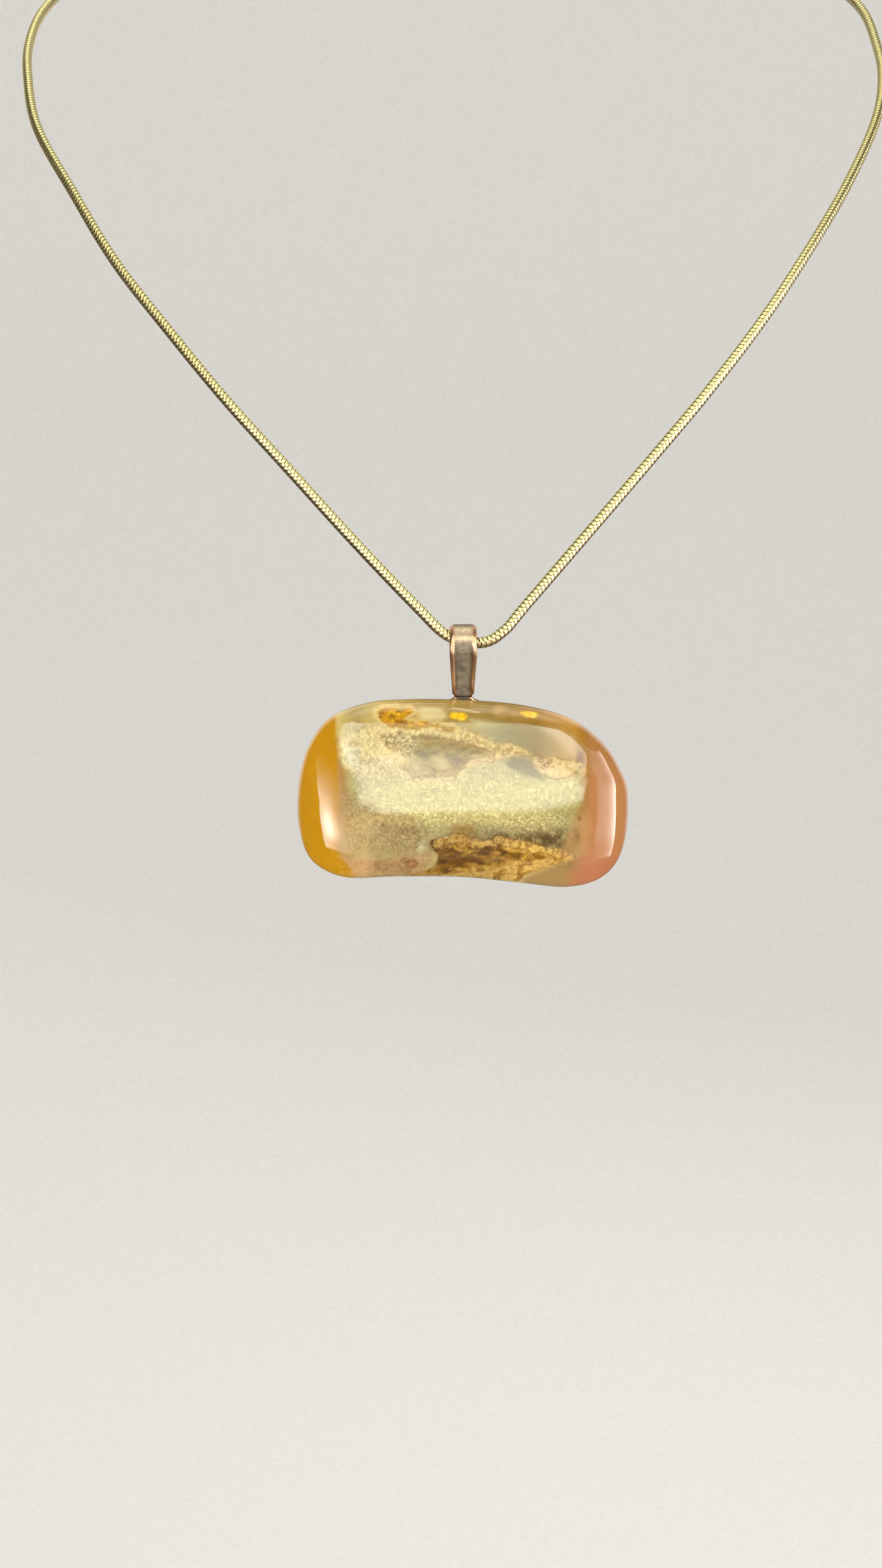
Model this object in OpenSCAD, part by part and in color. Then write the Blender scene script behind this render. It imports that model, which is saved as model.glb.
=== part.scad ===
// Pendant necklace: a fused-glass cabochon on a glue-on bail, a round snake
// chain, and a lobster clasp at the nape.
// +X is the wearer's left, +Y points backwards, +Z up. Millimetres.
// The origin is the middle of the neck opening.

/* [Cabochon] */
// Length of the glass slab from end to end
cab_length = 44.6; // [40:0.2:50]
// Height of the glass slab
cab_height = 25.4; // [23:0.2:28]
// Thickness of the glass slab at its crown
cab_thickness = 6.3; // [5.5:0.1:7]
// Height of the coloured base layer above the flat back
base_thickness = 2.6; // [2.2:0.1:3]
// How far the flat back is rounded in at its rim
back_round = 1.6; // [1:0.1:2]

/* [Bail] */
// Inner radius of the loop round the chain
bail_r = 2.2; // [2.2:0.1:2.8]
// Thickness of the bail's strip
bail_t = 0.7; // [0.5:0.05:0.8]
// Width of the strip over the loop
bail_w = 3.7; // [3:0.1:4.5]
// Width of the front leg's tip
bail_tip_w = 2.5; // [2:0.1:3]
// Width of the back leg's neck above the pad
neck_w = 2.4; // [2.2:0.1:3]
// Width of the glue pad
pad_w = 6.5; // [5:0.1:8]
// Height of the glue pad
pad_h = 8; // [6:0.1:9]
// Thickness of the adhesive film
glue_t = 0.15; // [0.1:0.01:0.2]

/* [Chain] */
// Outer diameter of the snake chain
chain_d = 1.5; // [1.2:0.1:1.5]
// Outer radius of the end caps
cap_r = 1.1; // [1.05:0.05:1.3]
// Length of an end cap's barrel
cap_l = 4; // [3.6:0.1:4.4]
// Depth of the chain's socket in the barrel
socket_depth = 3.2; // [3:0.05:3.3]

/* [Clasp] */
// Radius of the claw's opening
claw_r = 2.2; // [2.2:0.05:2.3]
// Thickness of the clasp's body
clasp_t = 2; // [1.8:0.05:2]
// Wire diameter of both rings
ring_wire = 0.7; // [0.6:0.02:0.7]
// Mean radius of the jump ring
jump_r = 1.9; // [1.88:0.01:1.92]
// Mean radius of the end ring
end_ring_r = 2.4; // [2.35:0.01:2.45]
// Radius of the trigger's pin
pin_r = 0.4; // [0.3:0.02:0.4]

/* [Hidden] */
$fn = 64;

// Where the pendant hangs: the middle of the bail's loop.
hang = [0, -55, -106];
// Centre of the glass below the loop.
cab_drop = 20;
// The pad is stepped back by one strip thickness, and the glass lies on its film.
pad_front = bail_r + bail_t;
glass_back = pad_front - glue_t;
cab_centre = hang + [0, glass_back, -cab_drop];

// Outline of the slab, seen from the front, before it is scaled to its size.
outline_points = [
    [22.3, 0], [21, 3.8], [18.8, 7], [14.5, 10.2], [8, 12], [0, 12.7],
    [-7.5, 12.8], [-13, 12.3], [-18, 10.3], [-21, 6.3], [-22.3, 1], [-22.2, -4.5],
    [-20.5, -9], [-16, -11.3], [-9, -11.2], [0, -11.3], [8, -12.1], [14.5, -12.6],
    [19.2, -11], [21.7, -7]
];
outline_size = [44.6, 25.4];
// Distance from the outline to the slab's middle line, across its height.
rim_to_middle = 12;
// Height of the slab's widest level above its back.
equator = 2;
// The crown stays flat over most of the slab and rolls off at the rim.
crown_power = 5;
// Half the space between cap and base, where the foil lies.
foil_gap = 0.03;
foil_t = 0.04;
// Where the middle glass meets the amber and the rose glass.
amber_edge = -17;
rose_edge = 15.5;
// Foil flakes: centre x, centre z, half length, half height, turn.
flakes = [
    [-6, 10, 4.6, 1, -12], [-2, 5, 5.6, 2.6, -6], [11, 3.4, 5, 1.5, -8],
    [6, -8.6, 8, 1.6, 6], [-5.5, -7.6, 2, 0.9, 0], [9, 9.8, 1.2, 0.5, -8]
];

// The bail's front leg leaves the loop at this angle past the horizontal.
leg_angle = 36;
leg_length = 6.6;
// Heights below the loop's middle where the back leg steps back to the pad.
step_top = 6.6;
step_drop = 1;
pad_top = 7.9;
pad_corner = 1.5;

// Route of the chain's centre line, from the left end cap, down to the bail
// and up again to the right end cap.
chain_route = [
    [-11.4, 38, 20], [-15, 38, 20], [-24, 37, 19.5], [-35, 33.5, 18.5],
    [-46, 27, 16], [-55, 19, 12], [-61.5, 9.5, 5.5], [-65.5, 0, -2.5],
    [-66.5, -8, -10], [-65.5, -16, -17.5], [-62.5, -25.5, -28], [-56, -34, -39.5],
    [-49, -40.5, -51], [-41, -45.5, -61.5], [-32.5, -49.5, -72], [-24, -51.5, -81.5],
    [-15, -53, -91.5], [-6.5, -54.5, -100.5], [-2, -55, -104.7],
    [2.5, -55, -105.6], [5.5, -55, -104], [8.5, -54.5, -100.5],
    [17.5, -53, -90], [26, -51, -80], [33.5, -49, -71], [41.5, -45, -60.5],
    [48.5, -40, -50], [55.5, -32, -38.5], [61.5, -22, -26.5], [64, -14.5, -18],
    [64.5, -7, -10.5], [63.5, 1.5, -2], [59.5, 10.5, 5.5], [54, 19, 12],
    [46, 27, 16], [35, 33.5, 18.5], [24, 37, 19.5], [15, 38, 20], [11.4, 38, 20]
];
chain_sides = 8;
rings_per_span = 2;

// The clasp lies along X at the nape; its claw's opening is centred here.
claw = [3, 38, 20];
wire_r = ring_wire / 2;
claw_wall = 1.1;
tail_r = 1.5;
tail_hole_r = 0.85;
tail_t = 1.2;
tail_reach = 7.8;
// How far a ring's wire lies from the middle of the hole that it hangs in.
ring_offset = 0.25;
claw_ring_offset = 1.1;
eye_r = 1.5;
eye_hole_r = 0.8;
eye_t = 0.8;
eye_overlap = 0.2;
socket_clearance = 0.1;

jump_x = claw[0] - tail_reach - ring_offset - jump_r;
eye_left_x = jump_x - jump_r - ring_offset;
end_ring_x = claw[0] + claw_ring_offset + end_ring_r;
eye_right_x = end_ring_x + end_ring_r + ring_offset;

// Pivot of the trigger, from the claw's middle.
pivot = [-3.2, -1];
hub_r = 0.9;
pin_clearance = 0.05;
trigger_t = 0.9;
slot_t = 1.1;
nose_angle = -52;
cheek_angle = -135;
spring_x = -2.5;
spring_wire_r = 0.09;
spring_r = 0.3;
spring_turns = 4;
spring_bottom = 0.02;
slot_roof = 1;

// ---- functions ----

function spline(a, b, c, d, t) =
    (2 * b + (c - a) * t + (2 * a - 5 * b + 4 * c - d) * t * t
    + (3 * b - a - 3 * c + d) * t * t * t) / 2;

// A smooth closed curve through the points of a list.
function closed_curve(p, steps) =
    let (n = len(p))
    [for (i = [0 : n - 1], k = [0 : steps - 1])
        spline(p[(i + n - 1) % n], p[i], p[(i + 1) % n], p[(i + 2) % n], k / steps)];

// A smooth open curve through the points of a list.
function open_curve(p, steps) =
    let (n = len(p), q = concat([2 * p[0] - p[1]], p, [2 * p[n - 1] - p[n - 2]]))
    concat(
        [for (i = [1 : n - 1], k = [0 : steps - 1])
            spline(q[i - 1], q[i], q[i + 1], q[i + 2], k / steps)],
        [p[n - 1]]
    );

function unit(v) = v / norm(v);

function direction(line, i) =
    unit(line[min(i + 1, len(line) - 1)] - line[max(i - 1, 0)]);

// One ring of a tube, square to the line. up must never lie along the line.
function ring_at(line, i, r, sides, up) =
    let (
        along = direction(line, i),
        side = unit(cross(along, up)),
        over = cross(side, along)
    )
    [for (k = [0 : sides - 1])
        line[i] + r * (cos(360 * k / sides) * side + sin(360 * k / sides) * over)];

// The slab's outline, scaled to size.
cab_scale = [cab_length / outline_size[0], cab_height / outline_size[1]];
cab_outline = [for (p = closed_curve(outline_points, 2))
    [p[0] * cab_scale[0], p[1] * cab_scale[1]]];

// Where the edge from p to q crosses x, as a list of no point or one.
function crossing(p, q, x) = (p[0] - x) * (q[0] - x) < 0
    ? [[x, p[1] + (q[1] - p[1]) * (x - p[0]) / (q[0] - p[0])]] : [];

// The part of a closed outline that lies between two places along X.
function between(outline, from_x, to_x) = [
    for (i = [0 : len(outline) - 1])
        let (p = outline[i], q = outline[(i + 1) % len(outline)])
        for (v = concat(
            p[0] >= from_x && p[0] <= to_x ? [p] : [],
            crossing(p, q, from_x), crossing(p, q, to_x)
        )) v
];

// The outline drawn in by inset, at height h above the flat back.
function slab_ring(inset, h) = [for (p = cab_outline) [
    p[0] * (1 - inset / (cab_length / 2)), -h,
    p[1] * (1 - inset / rim_to_middle)
]];

// Height of the front surface where it is drawn in by inset.
function crown_height(inset) = equator + (cab_thickness - equator)
    * sqrt(1 - pow(1 - inset / rim_to_middle, crown_power));

// The inset at which the front surface reaches height h.
function crown_inset(h) = let (rise = (h - equator) / (cab_thickness - equator))
    rim_to_middle * (1 - pow(1 - rise * rise, 1 / crown_power));

// ---- shapes that repeat ----

// A closed solid skinned over a list of rings with the same number of points.
module skin_rings(rings) {
    n = len(rings[0]);
    last = len(rings) - 1;
    polyhedron(
        points = [for (ring = rings, p = ring) p],
        faces = concat(
            [[for (k = [n - 1 : -1 : 0]) k]],
            [for (j = [0 : last - 1], k = [0 : n - 1])
                [j * n + k, j * n + (k + 1) % n, (j + 1) * n + (k + 1) % n]],
            [for (j = [0 : last - 1], k = [0 : n - 1])
                [j * n + k, (j + 1) * n + (k + 1) % n, (j + 1) * n + k]],
            [[for (k = [0 : n - 1]) last * n + k]]
        )
    );
}

// An outline in Y and Z, as thick as width along X and centred on it.
module across(width) {
    rotate([90, 0, 90]) linear_extrude(width, center = true) children();
}

// An outline in X and Z, as thick as depth along Y and centred on it.
module upright(depth) {
    rotate([90, 0, 0]) linear_extrude(depth, center = true) children();
}

module torus(mean_r, tube_r) {
    rotate_extrude() translate([mean_r, 0]) circle(tube_r, $fn = 32);
}

// The base layer between two places along X. An end piece reaches this far
// from its cut to the slab's end and is rounded in there; the middle has no end.
module base_glass(from_x, to_x, cut_x, end_reach) {
    outline = between(cab_outline, from_x, to_x);
    top = base_thickness - foil_gap;
    insets = [back_round, back_round * 0.4, back_round * 0.1, 0, crown_inset(top)];
    heights = [0, 0.4, 1.1, equator, top];
    translate(cab_centre) skin_rings([for (k = [0 : len(insets) - 1])
        [for (p = outline) [
            cut_x + (p[0] - cut_x) * (end_reach > 0 ? 1 - insets[k] / end_reach : 1),
            -heights[k], p[1] * (1 - insets[k] / rim_to_middle)
        ]]
    ]);
}

// An end cap with its eye, lying along X; way is -1 on the left, 1 on the right.
module end_cap(eye_x, way) {
    barrel_x = eye_r - eye_overlap;
    translate([eye_x, claw[1], claw[2]]) mirror([way < 0 ? 1 : 0, 0, 0]) {
        difference() {
            union() {
                translate([barrel_x, 0, 0]) rotate([0, 90, 0]) cylinder(cap_l, cap_r, cap_r);
                upright(eye_t) circle(eye_r);
            }
            translate([barrel_x + cap_l - socket_depth, 0, 0]) rotate([0, 90, 0])
                cylinder(socket_depth + 1, chain_d / 2 + socket_clearance,
                    chain_d / 2 + socket_clearance);
            upright(3 * eye_t) circle(eye_hole_r);
        }
    }
}

// ---- sub-parts ----

module glass_base_amber() {
    color("goldenrod") base_glass(-cab_length, amber_edge, amber_edge, cab_length / 2 + amber_edge);
}

module glass_base_centre() {
    color("darkseagreen") base_glass(amber_edge, rose_edge, 0, 0);
}

module glass_base_rose() {
    color("lightsalmon") base_glass(rose_edge, cab_length, rose_edge, cab_length / 2 - rose_edge);
}

// The clear cap, from the foil up over the crown.
module glass_cap() {
    steps = 7;
    foot = base_thickness + foil_gap;
    foot_inset = crown_inset(foot);
    widest_inset = 0.93 * rim_to_middle;
    insets = [for (k = [0 : steps])
        foot_inset + (widest_inset - foot_inset) * pow(k / steps, 1.9)];
    color("honeydew", 0.4) translate(cab_centre)
        skin_rings([for (inset = insets) slab_ring(inset, crown_height(inset))]);
}

// One flake, as a disc with a wavy edge.
module flake(half_l, half_h) {
    wave = 0.1;
    lobes = 3;
    polygon([for (a = [0 : 20 : 340])
        (1 + wave * sin(lobes * a + 40)) * [half_l * cos(a), half_h * sin(a)]]);
}

module foil_flakes() {
    color("darkgoldenrod") for (f = flakes)
        translate(cab_centre + [f[0], -base_thickness, f[1]]) rotate([0, f[4], 0])
            upright(foil_t) flake(f[2], f[3]);
}

// Loop and back leg, with the step back to the pad. The leg tapers to its neck.
module bail_strip() {
    intersection() {
        bail_side();
        upright(20) polygon([
            [-bail_w / 2, 5], [-bail_w / 2, 0], [-neck_w / 2, -step_top],
            [-neck_w / 2, -20], [neck_w / 2, -20], [neck_w / 2, -step_top],
            [bail_w / 2, 0], [bail_w / 2, 5]
        ]);
    }
}

module bail_side() {
    across(bail_w) {
        difference() {
            circle(bail_r + bail_t);
            circle(bail_r);
            polygon([
                [0, 0], [-4 * cos(leg_angle), -4 * sin(leg_angle)],
                [-4 * cos(leg_angle), -5], [5, -5], [5, 0]
            ]);
        }
        polygon([
            [bail_r, 0], [bail_r + bail_t, 0], [bail_r + bail_t, -step_top],
            [pad_front + bail_t, -step_top - step_drop],
            [pad_front + bail_t, -pad_top - 1], [pad_front, -pad_top - 1],
            [pad_front, -step_top - step_drop - 0.3], [bail_r, -step_top - 0.3]
        ]);
    }
}

// The front leg slants back to the back leg and tapers to its tip.
module bail_front_leg() {
    leg_top = -bail_r * sin(leg_angle);
    leg_foot = leg_top - leg_length;
    intersection() {
        across(bail_w) rotate(180 + leg_angle) translate([bail_r, -0.01])
            square([bail_t, leg_length]);
        upright(20) polygon([
            [-bail_w / 2, 0], [-bail_w / 2, leg_top], [-bail_tip_w / 2, leg_foot],
            [bail_tip_w / 2, leg_foot], [bail_w / 2, leg_top], [bail_w / 2, 0]
        ]);
    }
}

module rounded_plate(w, h, corner) {
    square([w - 2 * corner, h], center = true);
    square([w, h - 2 * corner], center = true);
    for (x = [-1, 1], y = [-1, 1])
        translate([x * (w / 2 - corner), y * (h / 2 - corner)]) circle(corner);
}

module bail() {
    color("sienna") translate(hang) {
        bail_strip();
        bail_front_leg();
        translate([0, pad_front + bail_t / 2, -pad_top - pad_h / 2])
            upright(bail_t) rounded_plate(pad_w, pad_h, pad_corner);
    }
}

module bail_adhesive() {
    margin = 0.3;
    // The film keeps off the glass's rounded rim at its top.
    film_h = pad_h - 2;
    film_z = margin + film_h / 2 - pad_top - pad_h;
    color("whitesmoke") translate(hang + [0, glass_back + glue_t / 2, film_z])
        upright(glue_t) rounded_plate(pad_w - 2 * margin, film_h, pad_corner);
}

module snake_chain() {
    line = open_curve(chain_route, rings_per_span);
    color("darkkhaki") skin_rings([for (i = [0 : len(line) - 1])
        ring_at(line, i, chain_d / 2, chain_sides, [0, 0, 1])]);
}

module end_cap_left() {
    color("darkkhaki") end_cap(eye_left_x, -1);
}

module end_cap_right() {
    color("darkkhaki") end_cap(eye_right_x, 1);
}

// An open ring of wire, bent shut with a hairline split.
module jump_ring() {
    split = 0.06;
    color("khaki") translate([jump_x, claw[1], claw[2]]) difference() {
        torus(jump_r, wire_r);
        translate([0, jump_r, 0]) cube([split, 2 * ring_wire, 2 * ring_wire], center = true);
    }
}

// A soldered ring, which the claw hooks.
module end_ring() {
    color("khaki") translate([end_ring_x, claw[1], claw[2]]) torus(end_ring_r, wire_r);
}

module claw_outline() {
    outer_r = claw_r + claw_wall;
    lean = asin((outer_r - tail_r) / tail_reach);
    circle(outer_r);
    translate([-tail_reach, 0]) circle(tail_r);
    polygon([for (way = [1, -1], end = way > 0 ? [0, 1] : [1, 0])
        let (r = end > 0 ? tail_r : outer_r)
        [-tail_reach * end - r * sin(lean), way * r * cos(lean)]]);
}

module clasp_body() {
    tail_cut = 20;
    slot_gap = 0.3;
    slot_depth = 6;
    slot_opens = 0.68;
    color("khaki") translate(claw) difference() {
        upright(clasp_t) difference() {
            claw_outline();
            circle(claw_r);
            // The gap that the trigger's arm closes.
            polygon(concat([[0, 0]], [for (k = [0 : 4])
                let (a = nose_angle + (cheek_angle - nose_angle) * k / 4)
                2 * claw_r * [cos(a), sin(a)]]));
            translate([-tail_reach, 0]) circle(tail_hole_r);
        }
        // The tail is thinner than the claw.
        for (way = [-1, 1])
            translate([-tail_reach - tail_r + 0.4, way * (tail_t / 2 + tail_cut / 2), 0])
                cube([2 * tail_r + 1.4, tail_cut, tail_cut], center = true);
        // The slot for the trigger and its spring opens into the claw.
        translate([pivot[0] - hub_r - slot_gap, -slot_t / 2, -slot_depth])
            cube([hub_r + slot_gap - pivot[0] - claw_r * slot_opens, slot_t, slot_depth + slot_roof]);
        translate([pivot[0], 0, pivot[1]]) rotate([90, 0, 0])
            cylinder(2 * clasp_t, pin_r, pin_r, center = true);
    }
}

// The rivet is tight in both cheeks.
module clasp_pin() {
    color("silver") translate(claw + [pivot[0], 0, pivot[1]]) rotate([90, 0, 0])
        cylinder(clasp_t, pin_r, pin_r, center = true);
}

module clasp_trigger() {
    arm = [
        [-3.9, -1.5], [-2.9, -2.3], [-2.5, -3.9], [-1.8, -4.1], [-1.5, -3.1],
        [-0.5, -3.2], [0.5, -2.8], [1.15, -2], [0.9, -1.6], [0.2, -2.2], [-0.8, -2.3],
        [-1.9, -1.5], [-2, -0.1], [-3, -0.1]
    ];
    color("khaki") translate(claw) difference() {
        upright(trigger_t) {
            polygon(arm);
            translate(pivot) circle(hub_r);
        }
        translate([pivot[0], 0, pivot[1]]) rotate([90, 0, 0])
            cylinder(2 * clasp_t, pin_r + pin_clearance, pin_r + pin_clearance, center = true);
    }
}

// A compression spring between the trigger and the slot's roof.
module clasp_spring() {
    steps_per_turn = 10;
    count = spring_turns * steps_per_turn;
    low = spring_bottom + spring_wire_r;
    high = slot_roof - 0.02 - spring_wire_r;
    line = [for (i = [0 : count]) let (a = 360 * i / steps_per_turn)
        [spring_r * cos(a), spring_r * sin(a), low + (high - low) * i / count]];
    color("silver") translate(claw + [spring_x, 0, 0])
        skin_rings([for (i = [0 : count]) ring_at(line, i, spring_wire_r, 6, [0, 0, 1])]);
}

glass_base_amber();
glass_base_centre();
glass_base_rose();
glass_cap();
foil_flakes();
bail();
bail_adhesive();
snake_chain();
end_cap_left();
end_cap_right();
jump_ring();
end_ring();
clasp_body();
clasp_pin();
clasp_spring();
clasp_trigger();
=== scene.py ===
import math

import bmesh
import bpy
import numpy as np
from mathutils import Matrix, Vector


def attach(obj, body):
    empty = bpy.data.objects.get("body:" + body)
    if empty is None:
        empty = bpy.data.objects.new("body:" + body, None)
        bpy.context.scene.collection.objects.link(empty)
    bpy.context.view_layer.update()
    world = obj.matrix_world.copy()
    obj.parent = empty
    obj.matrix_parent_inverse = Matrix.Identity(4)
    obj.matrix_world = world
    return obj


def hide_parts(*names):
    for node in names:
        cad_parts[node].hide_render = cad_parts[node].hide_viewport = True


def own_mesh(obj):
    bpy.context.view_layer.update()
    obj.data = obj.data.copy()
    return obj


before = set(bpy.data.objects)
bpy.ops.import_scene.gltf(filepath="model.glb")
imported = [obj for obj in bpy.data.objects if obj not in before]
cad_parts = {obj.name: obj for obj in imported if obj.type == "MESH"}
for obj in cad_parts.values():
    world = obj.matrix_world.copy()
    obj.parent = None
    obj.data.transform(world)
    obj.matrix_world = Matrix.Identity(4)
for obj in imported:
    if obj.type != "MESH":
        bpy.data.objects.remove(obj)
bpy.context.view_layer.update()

MM = 0.001

# ------------------------------------------------------------------ camera

CAMERA_AT = (-0.003, -0.385, -0.1247)
SENSOR_MM = 36
LENS_MM = 56.05


def make_camera():
    """Level and straight in front, a little above the pendant's middle."""
    cam = bpy.data.objects.new("camera", bpy.data.cameras.new("camera"))
    bpy.context.scene.collection.objects.link(cam)
    cam.location = CAMERA_AT
    cam.rotation_euler = (math.radians(90), 0, 0)
    cam.data.sensor_width = SENSOR_MM
    cam.data.lens = LENS_MM
    cam.data.clip_start = 0.01
    cam.data.clip_end = 20
    bpy.context.scene.camera = cam
    bpy.context.scene.view_settings.view_transform = "Standard"


make_camera()

# ------------------------------------------------------------------ helpers: meshes


def add_mesh(name, points_mm, faces):
    """A smooth mesh object from points in millimetres in the frame's axes."""
    mesh = bpy.data.meshes.new(name)
    points = np.asarray(points_mm, float) * MM
    mesh.from_pydata(points.tolist(), [], [tuple(int(i) for i in face) for face in faces])
    mesh.update()
    mesh.polygons.foreach_set("use_smooth", [True] * len(mesh.polygons))
    obj = bpy.data.objects.new(name, mesh)
    bpy.context.scene.collection.objects.link(obj)
    return obj


def face_outward(obj, merge=False):
    """Turns every face outward, after merging points that coincide if asked."""
    bm = bmesh.new()
    bm.from_mesh(obj.data)
    if merge:
        bmesh.ops.remove_doubles(bm, verts=bm.verts, dist=1e-6)
    bmesh.ops.recalc_face_normals(bm, faces=bm.faces)
    bm.to_mesh(obj.data)
    bm.free()


def grid_faces(rows, cols, flip=False):
    """Quads between consecutive closed rows of cols points each."""
    k = np.arange(cols)
    out = []
    for j in range(rows - 1):
        a = j * cols + k
        b = j * cols + (k + 1) % cols
        c, d = b + cols, a + cols
        out.append(np.stack([a, d, c, b] if flip else [a, b, c, d], 1))
    return [tuple(quad) for quad in np.concatenate(out)]


def tube_faces(rows, cols, flip=False):
    """The same, with the first and the last row closed."""
    first = tuple(range(cols))
    last = tuple((rows - 1) * cols + k for k in range(cols))
    ends = [first, last[::-1]] if flip else [first[::-1], last]
    return grid_faces(rows, cols, flip) + ends


def set_float(obj, name, values):
    attr = obj.data.attributes.new(name, "FLOAT", "POINT")
    attr.data.foreach_set("value", np.asarray(values, np.float32).ravel())


def set_colour(obj, name, rgb):
    attr = obj.data.color_attributes.new(name, "FLOAT_COLOR", "POINT")
    rgba = np.ones((len(rgb), 4), np.float32)
    rgba[:, :3] = rgb
    attr.data.foreach_set("color", rgba.ravel())


def curve_points(points, steps, closed=False):
    """Catmull-Rom curve through the points, as the CAD draws it."""
    p = np.asarray(points, float)
    if closed:
        q = np.vstack([p[-1:], p, p[:2]])
    else:
        q = np.vstack([2 * p[0] - p[1], p, 2 * p[-1] - p[-2]])
    t = (np.arange(steps) / steps)[:, None]
    out = []
    for a, b, c, d in zip(q, q[1:], q[2:], q[3:]):
        out.append((2 * b + (c - a) * t + (2 * a - 5 * b + 4 * c - d) * t * t
                    + (3 * b - a - 3 * c + d) * t ** 3) / 2)
    if not closed:
        out.append(p[-1:])
    return np.vstack(out)


def lengths(line):
    """How far along the line each of its points lies."""
    return np.concatenate([[0], np.cumsum(np.linalg.norm(np.diff(line, axis=0), axis=1))])


def even(line, count):
    """The line again with count points evenly spaced."""
    s = lengths(line)
    at = np.linspace(0, s[-1], count)
    return np.stack([np.interp(at, s, line[:, k]) for k in range(line.shape[1])], 1)


def unit(vectors):
    return vectors / np.linalg.norm(vectors, axis=1)[:, None]


# ------------------------------------------------------------------ helpers: noise and masks


def hashed(ix, iz, seed):
    """A fixed number from 0 to 1 for each grid place."""
    h = (ix.astype(np.int64) * 374761393 + iz.astype(np.int64) * 668265263 + seed * 974634777) & 0xFFFFFFFF
    h = ((h ^ (h >> 13)) * 1274126177) & 0xFFFFFFFF
    h = ((h ^ (h >> 16)) * 2246822519) & 0xFFFFFFFF
    return (h ^ (h >> 15)) / 4294967295.0


def value_noise(x, z, seed):
    ix, iz = np.floor(x), np.floor(z)
    fx, fz = x - ix, z - iz
    fx, fz = fx ** 3 * (fx * (6 * fx - 15) + 10), fz ** 3 * (fz * (6 * fz - 15) + 10)
    a, b = hashed(ix, iz, seed), hashed(ix + 1, iz, seed)
    c, d = hashed(ix, iz + 1, seed), hashed(ix + 1, iz + 1, seed)
    return (a * (1 - fx) + b * fx) * (1 - fz) + (c * (1 - fx) + d * fx) * fz


def fbm(x, z, size, octaves, seed):
    """Layered noise around 0, about -1 to 1. size is the width of its largest blobs."""
    total, amount, norm = 0.0, 1.0, 0.0
    x, z = x / size, z / size
    for k in range(octaves):
        total = total + amount * (value_noise(x, z, seed + 17 * k) * 2 - 1)
        norm += amount
        x, z = x * 2.03 + 5.1, z * 2.03 - 3.7
        amount *= 0.55
    return total / norm


def smooth(low, high, v):
    """0 at low, 1 at high and a soft step between them. It falls where low is the larger."""
    t = np.clip((v - low) / (high - low), 0, 1)
    return t * t * (3 - 2 * t)


def bell(distance, width):
    return np.exp(-(distance / width) ** 2)


def mix(base, colour, mask):
    return base * (1 - mask[:, None]) + np.asarray(colour, float) * mask[:, None]


def lin(r, g, b):
    """A screen colour of 0 to 255 as linear light."""
    c = np.array([r, g, b]) / 255
    return np.where(c <= 0.04045, c / 12.92, ((c + 0.055) / 1.055) ** 2.4)


def ellipse(x, z, cx, cz, rx, rz, turn=0.0):
    """Signed distance, roughly in mm: positive inside."""
    a = math.radians(turn)
    dx, dz = x - cx, z - cz
    u = (dx * math.cos(a) + dz * math.sin(a)) / rx
    v = (-dx * math.sin(a) + dz * math.cos(a)) / rz
    return (1 - np.sqrt(u * u + v * v)) * min(rx, rz)


def path_distance(x, z, points):
    """Distance to an open line."""
    best = np.full(x.shape, np.inf)
    for (x0, z0), (x1, z1) in zip(points, points[1:]):
        dx, dz = x1 - x0, z1 - z0
        t = np.clip(((x - x0) * dx + (z - z0) * dz) / (dx * dx + dz * dz + 1e-12), 0, 1)
        best = np.minimum(best, np.hypot(x - x0 - t * dx, z - z0 - t * dz))
    return best


def polygon(x, z, points):
    """Signed distance to a closed outline: positive inside."""
    loop = points + points[:1]
    inside = np.zeros(x.shape, bool)
    for (x0, z0), (x1, z1) in zip(loop, loop[1:]):
        if z0 != z1:
            crosses = (z0 > z) != (z1 > z)
            inside ^= crosses & (x < x0 + (z - z0) * (x1 - x0) / (z1 - z0))
    away = path_distance(x, z, loop)
    return np.where(inside, away, -away)


# ------------------------------------------------------------------ helpers: materials


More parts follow.
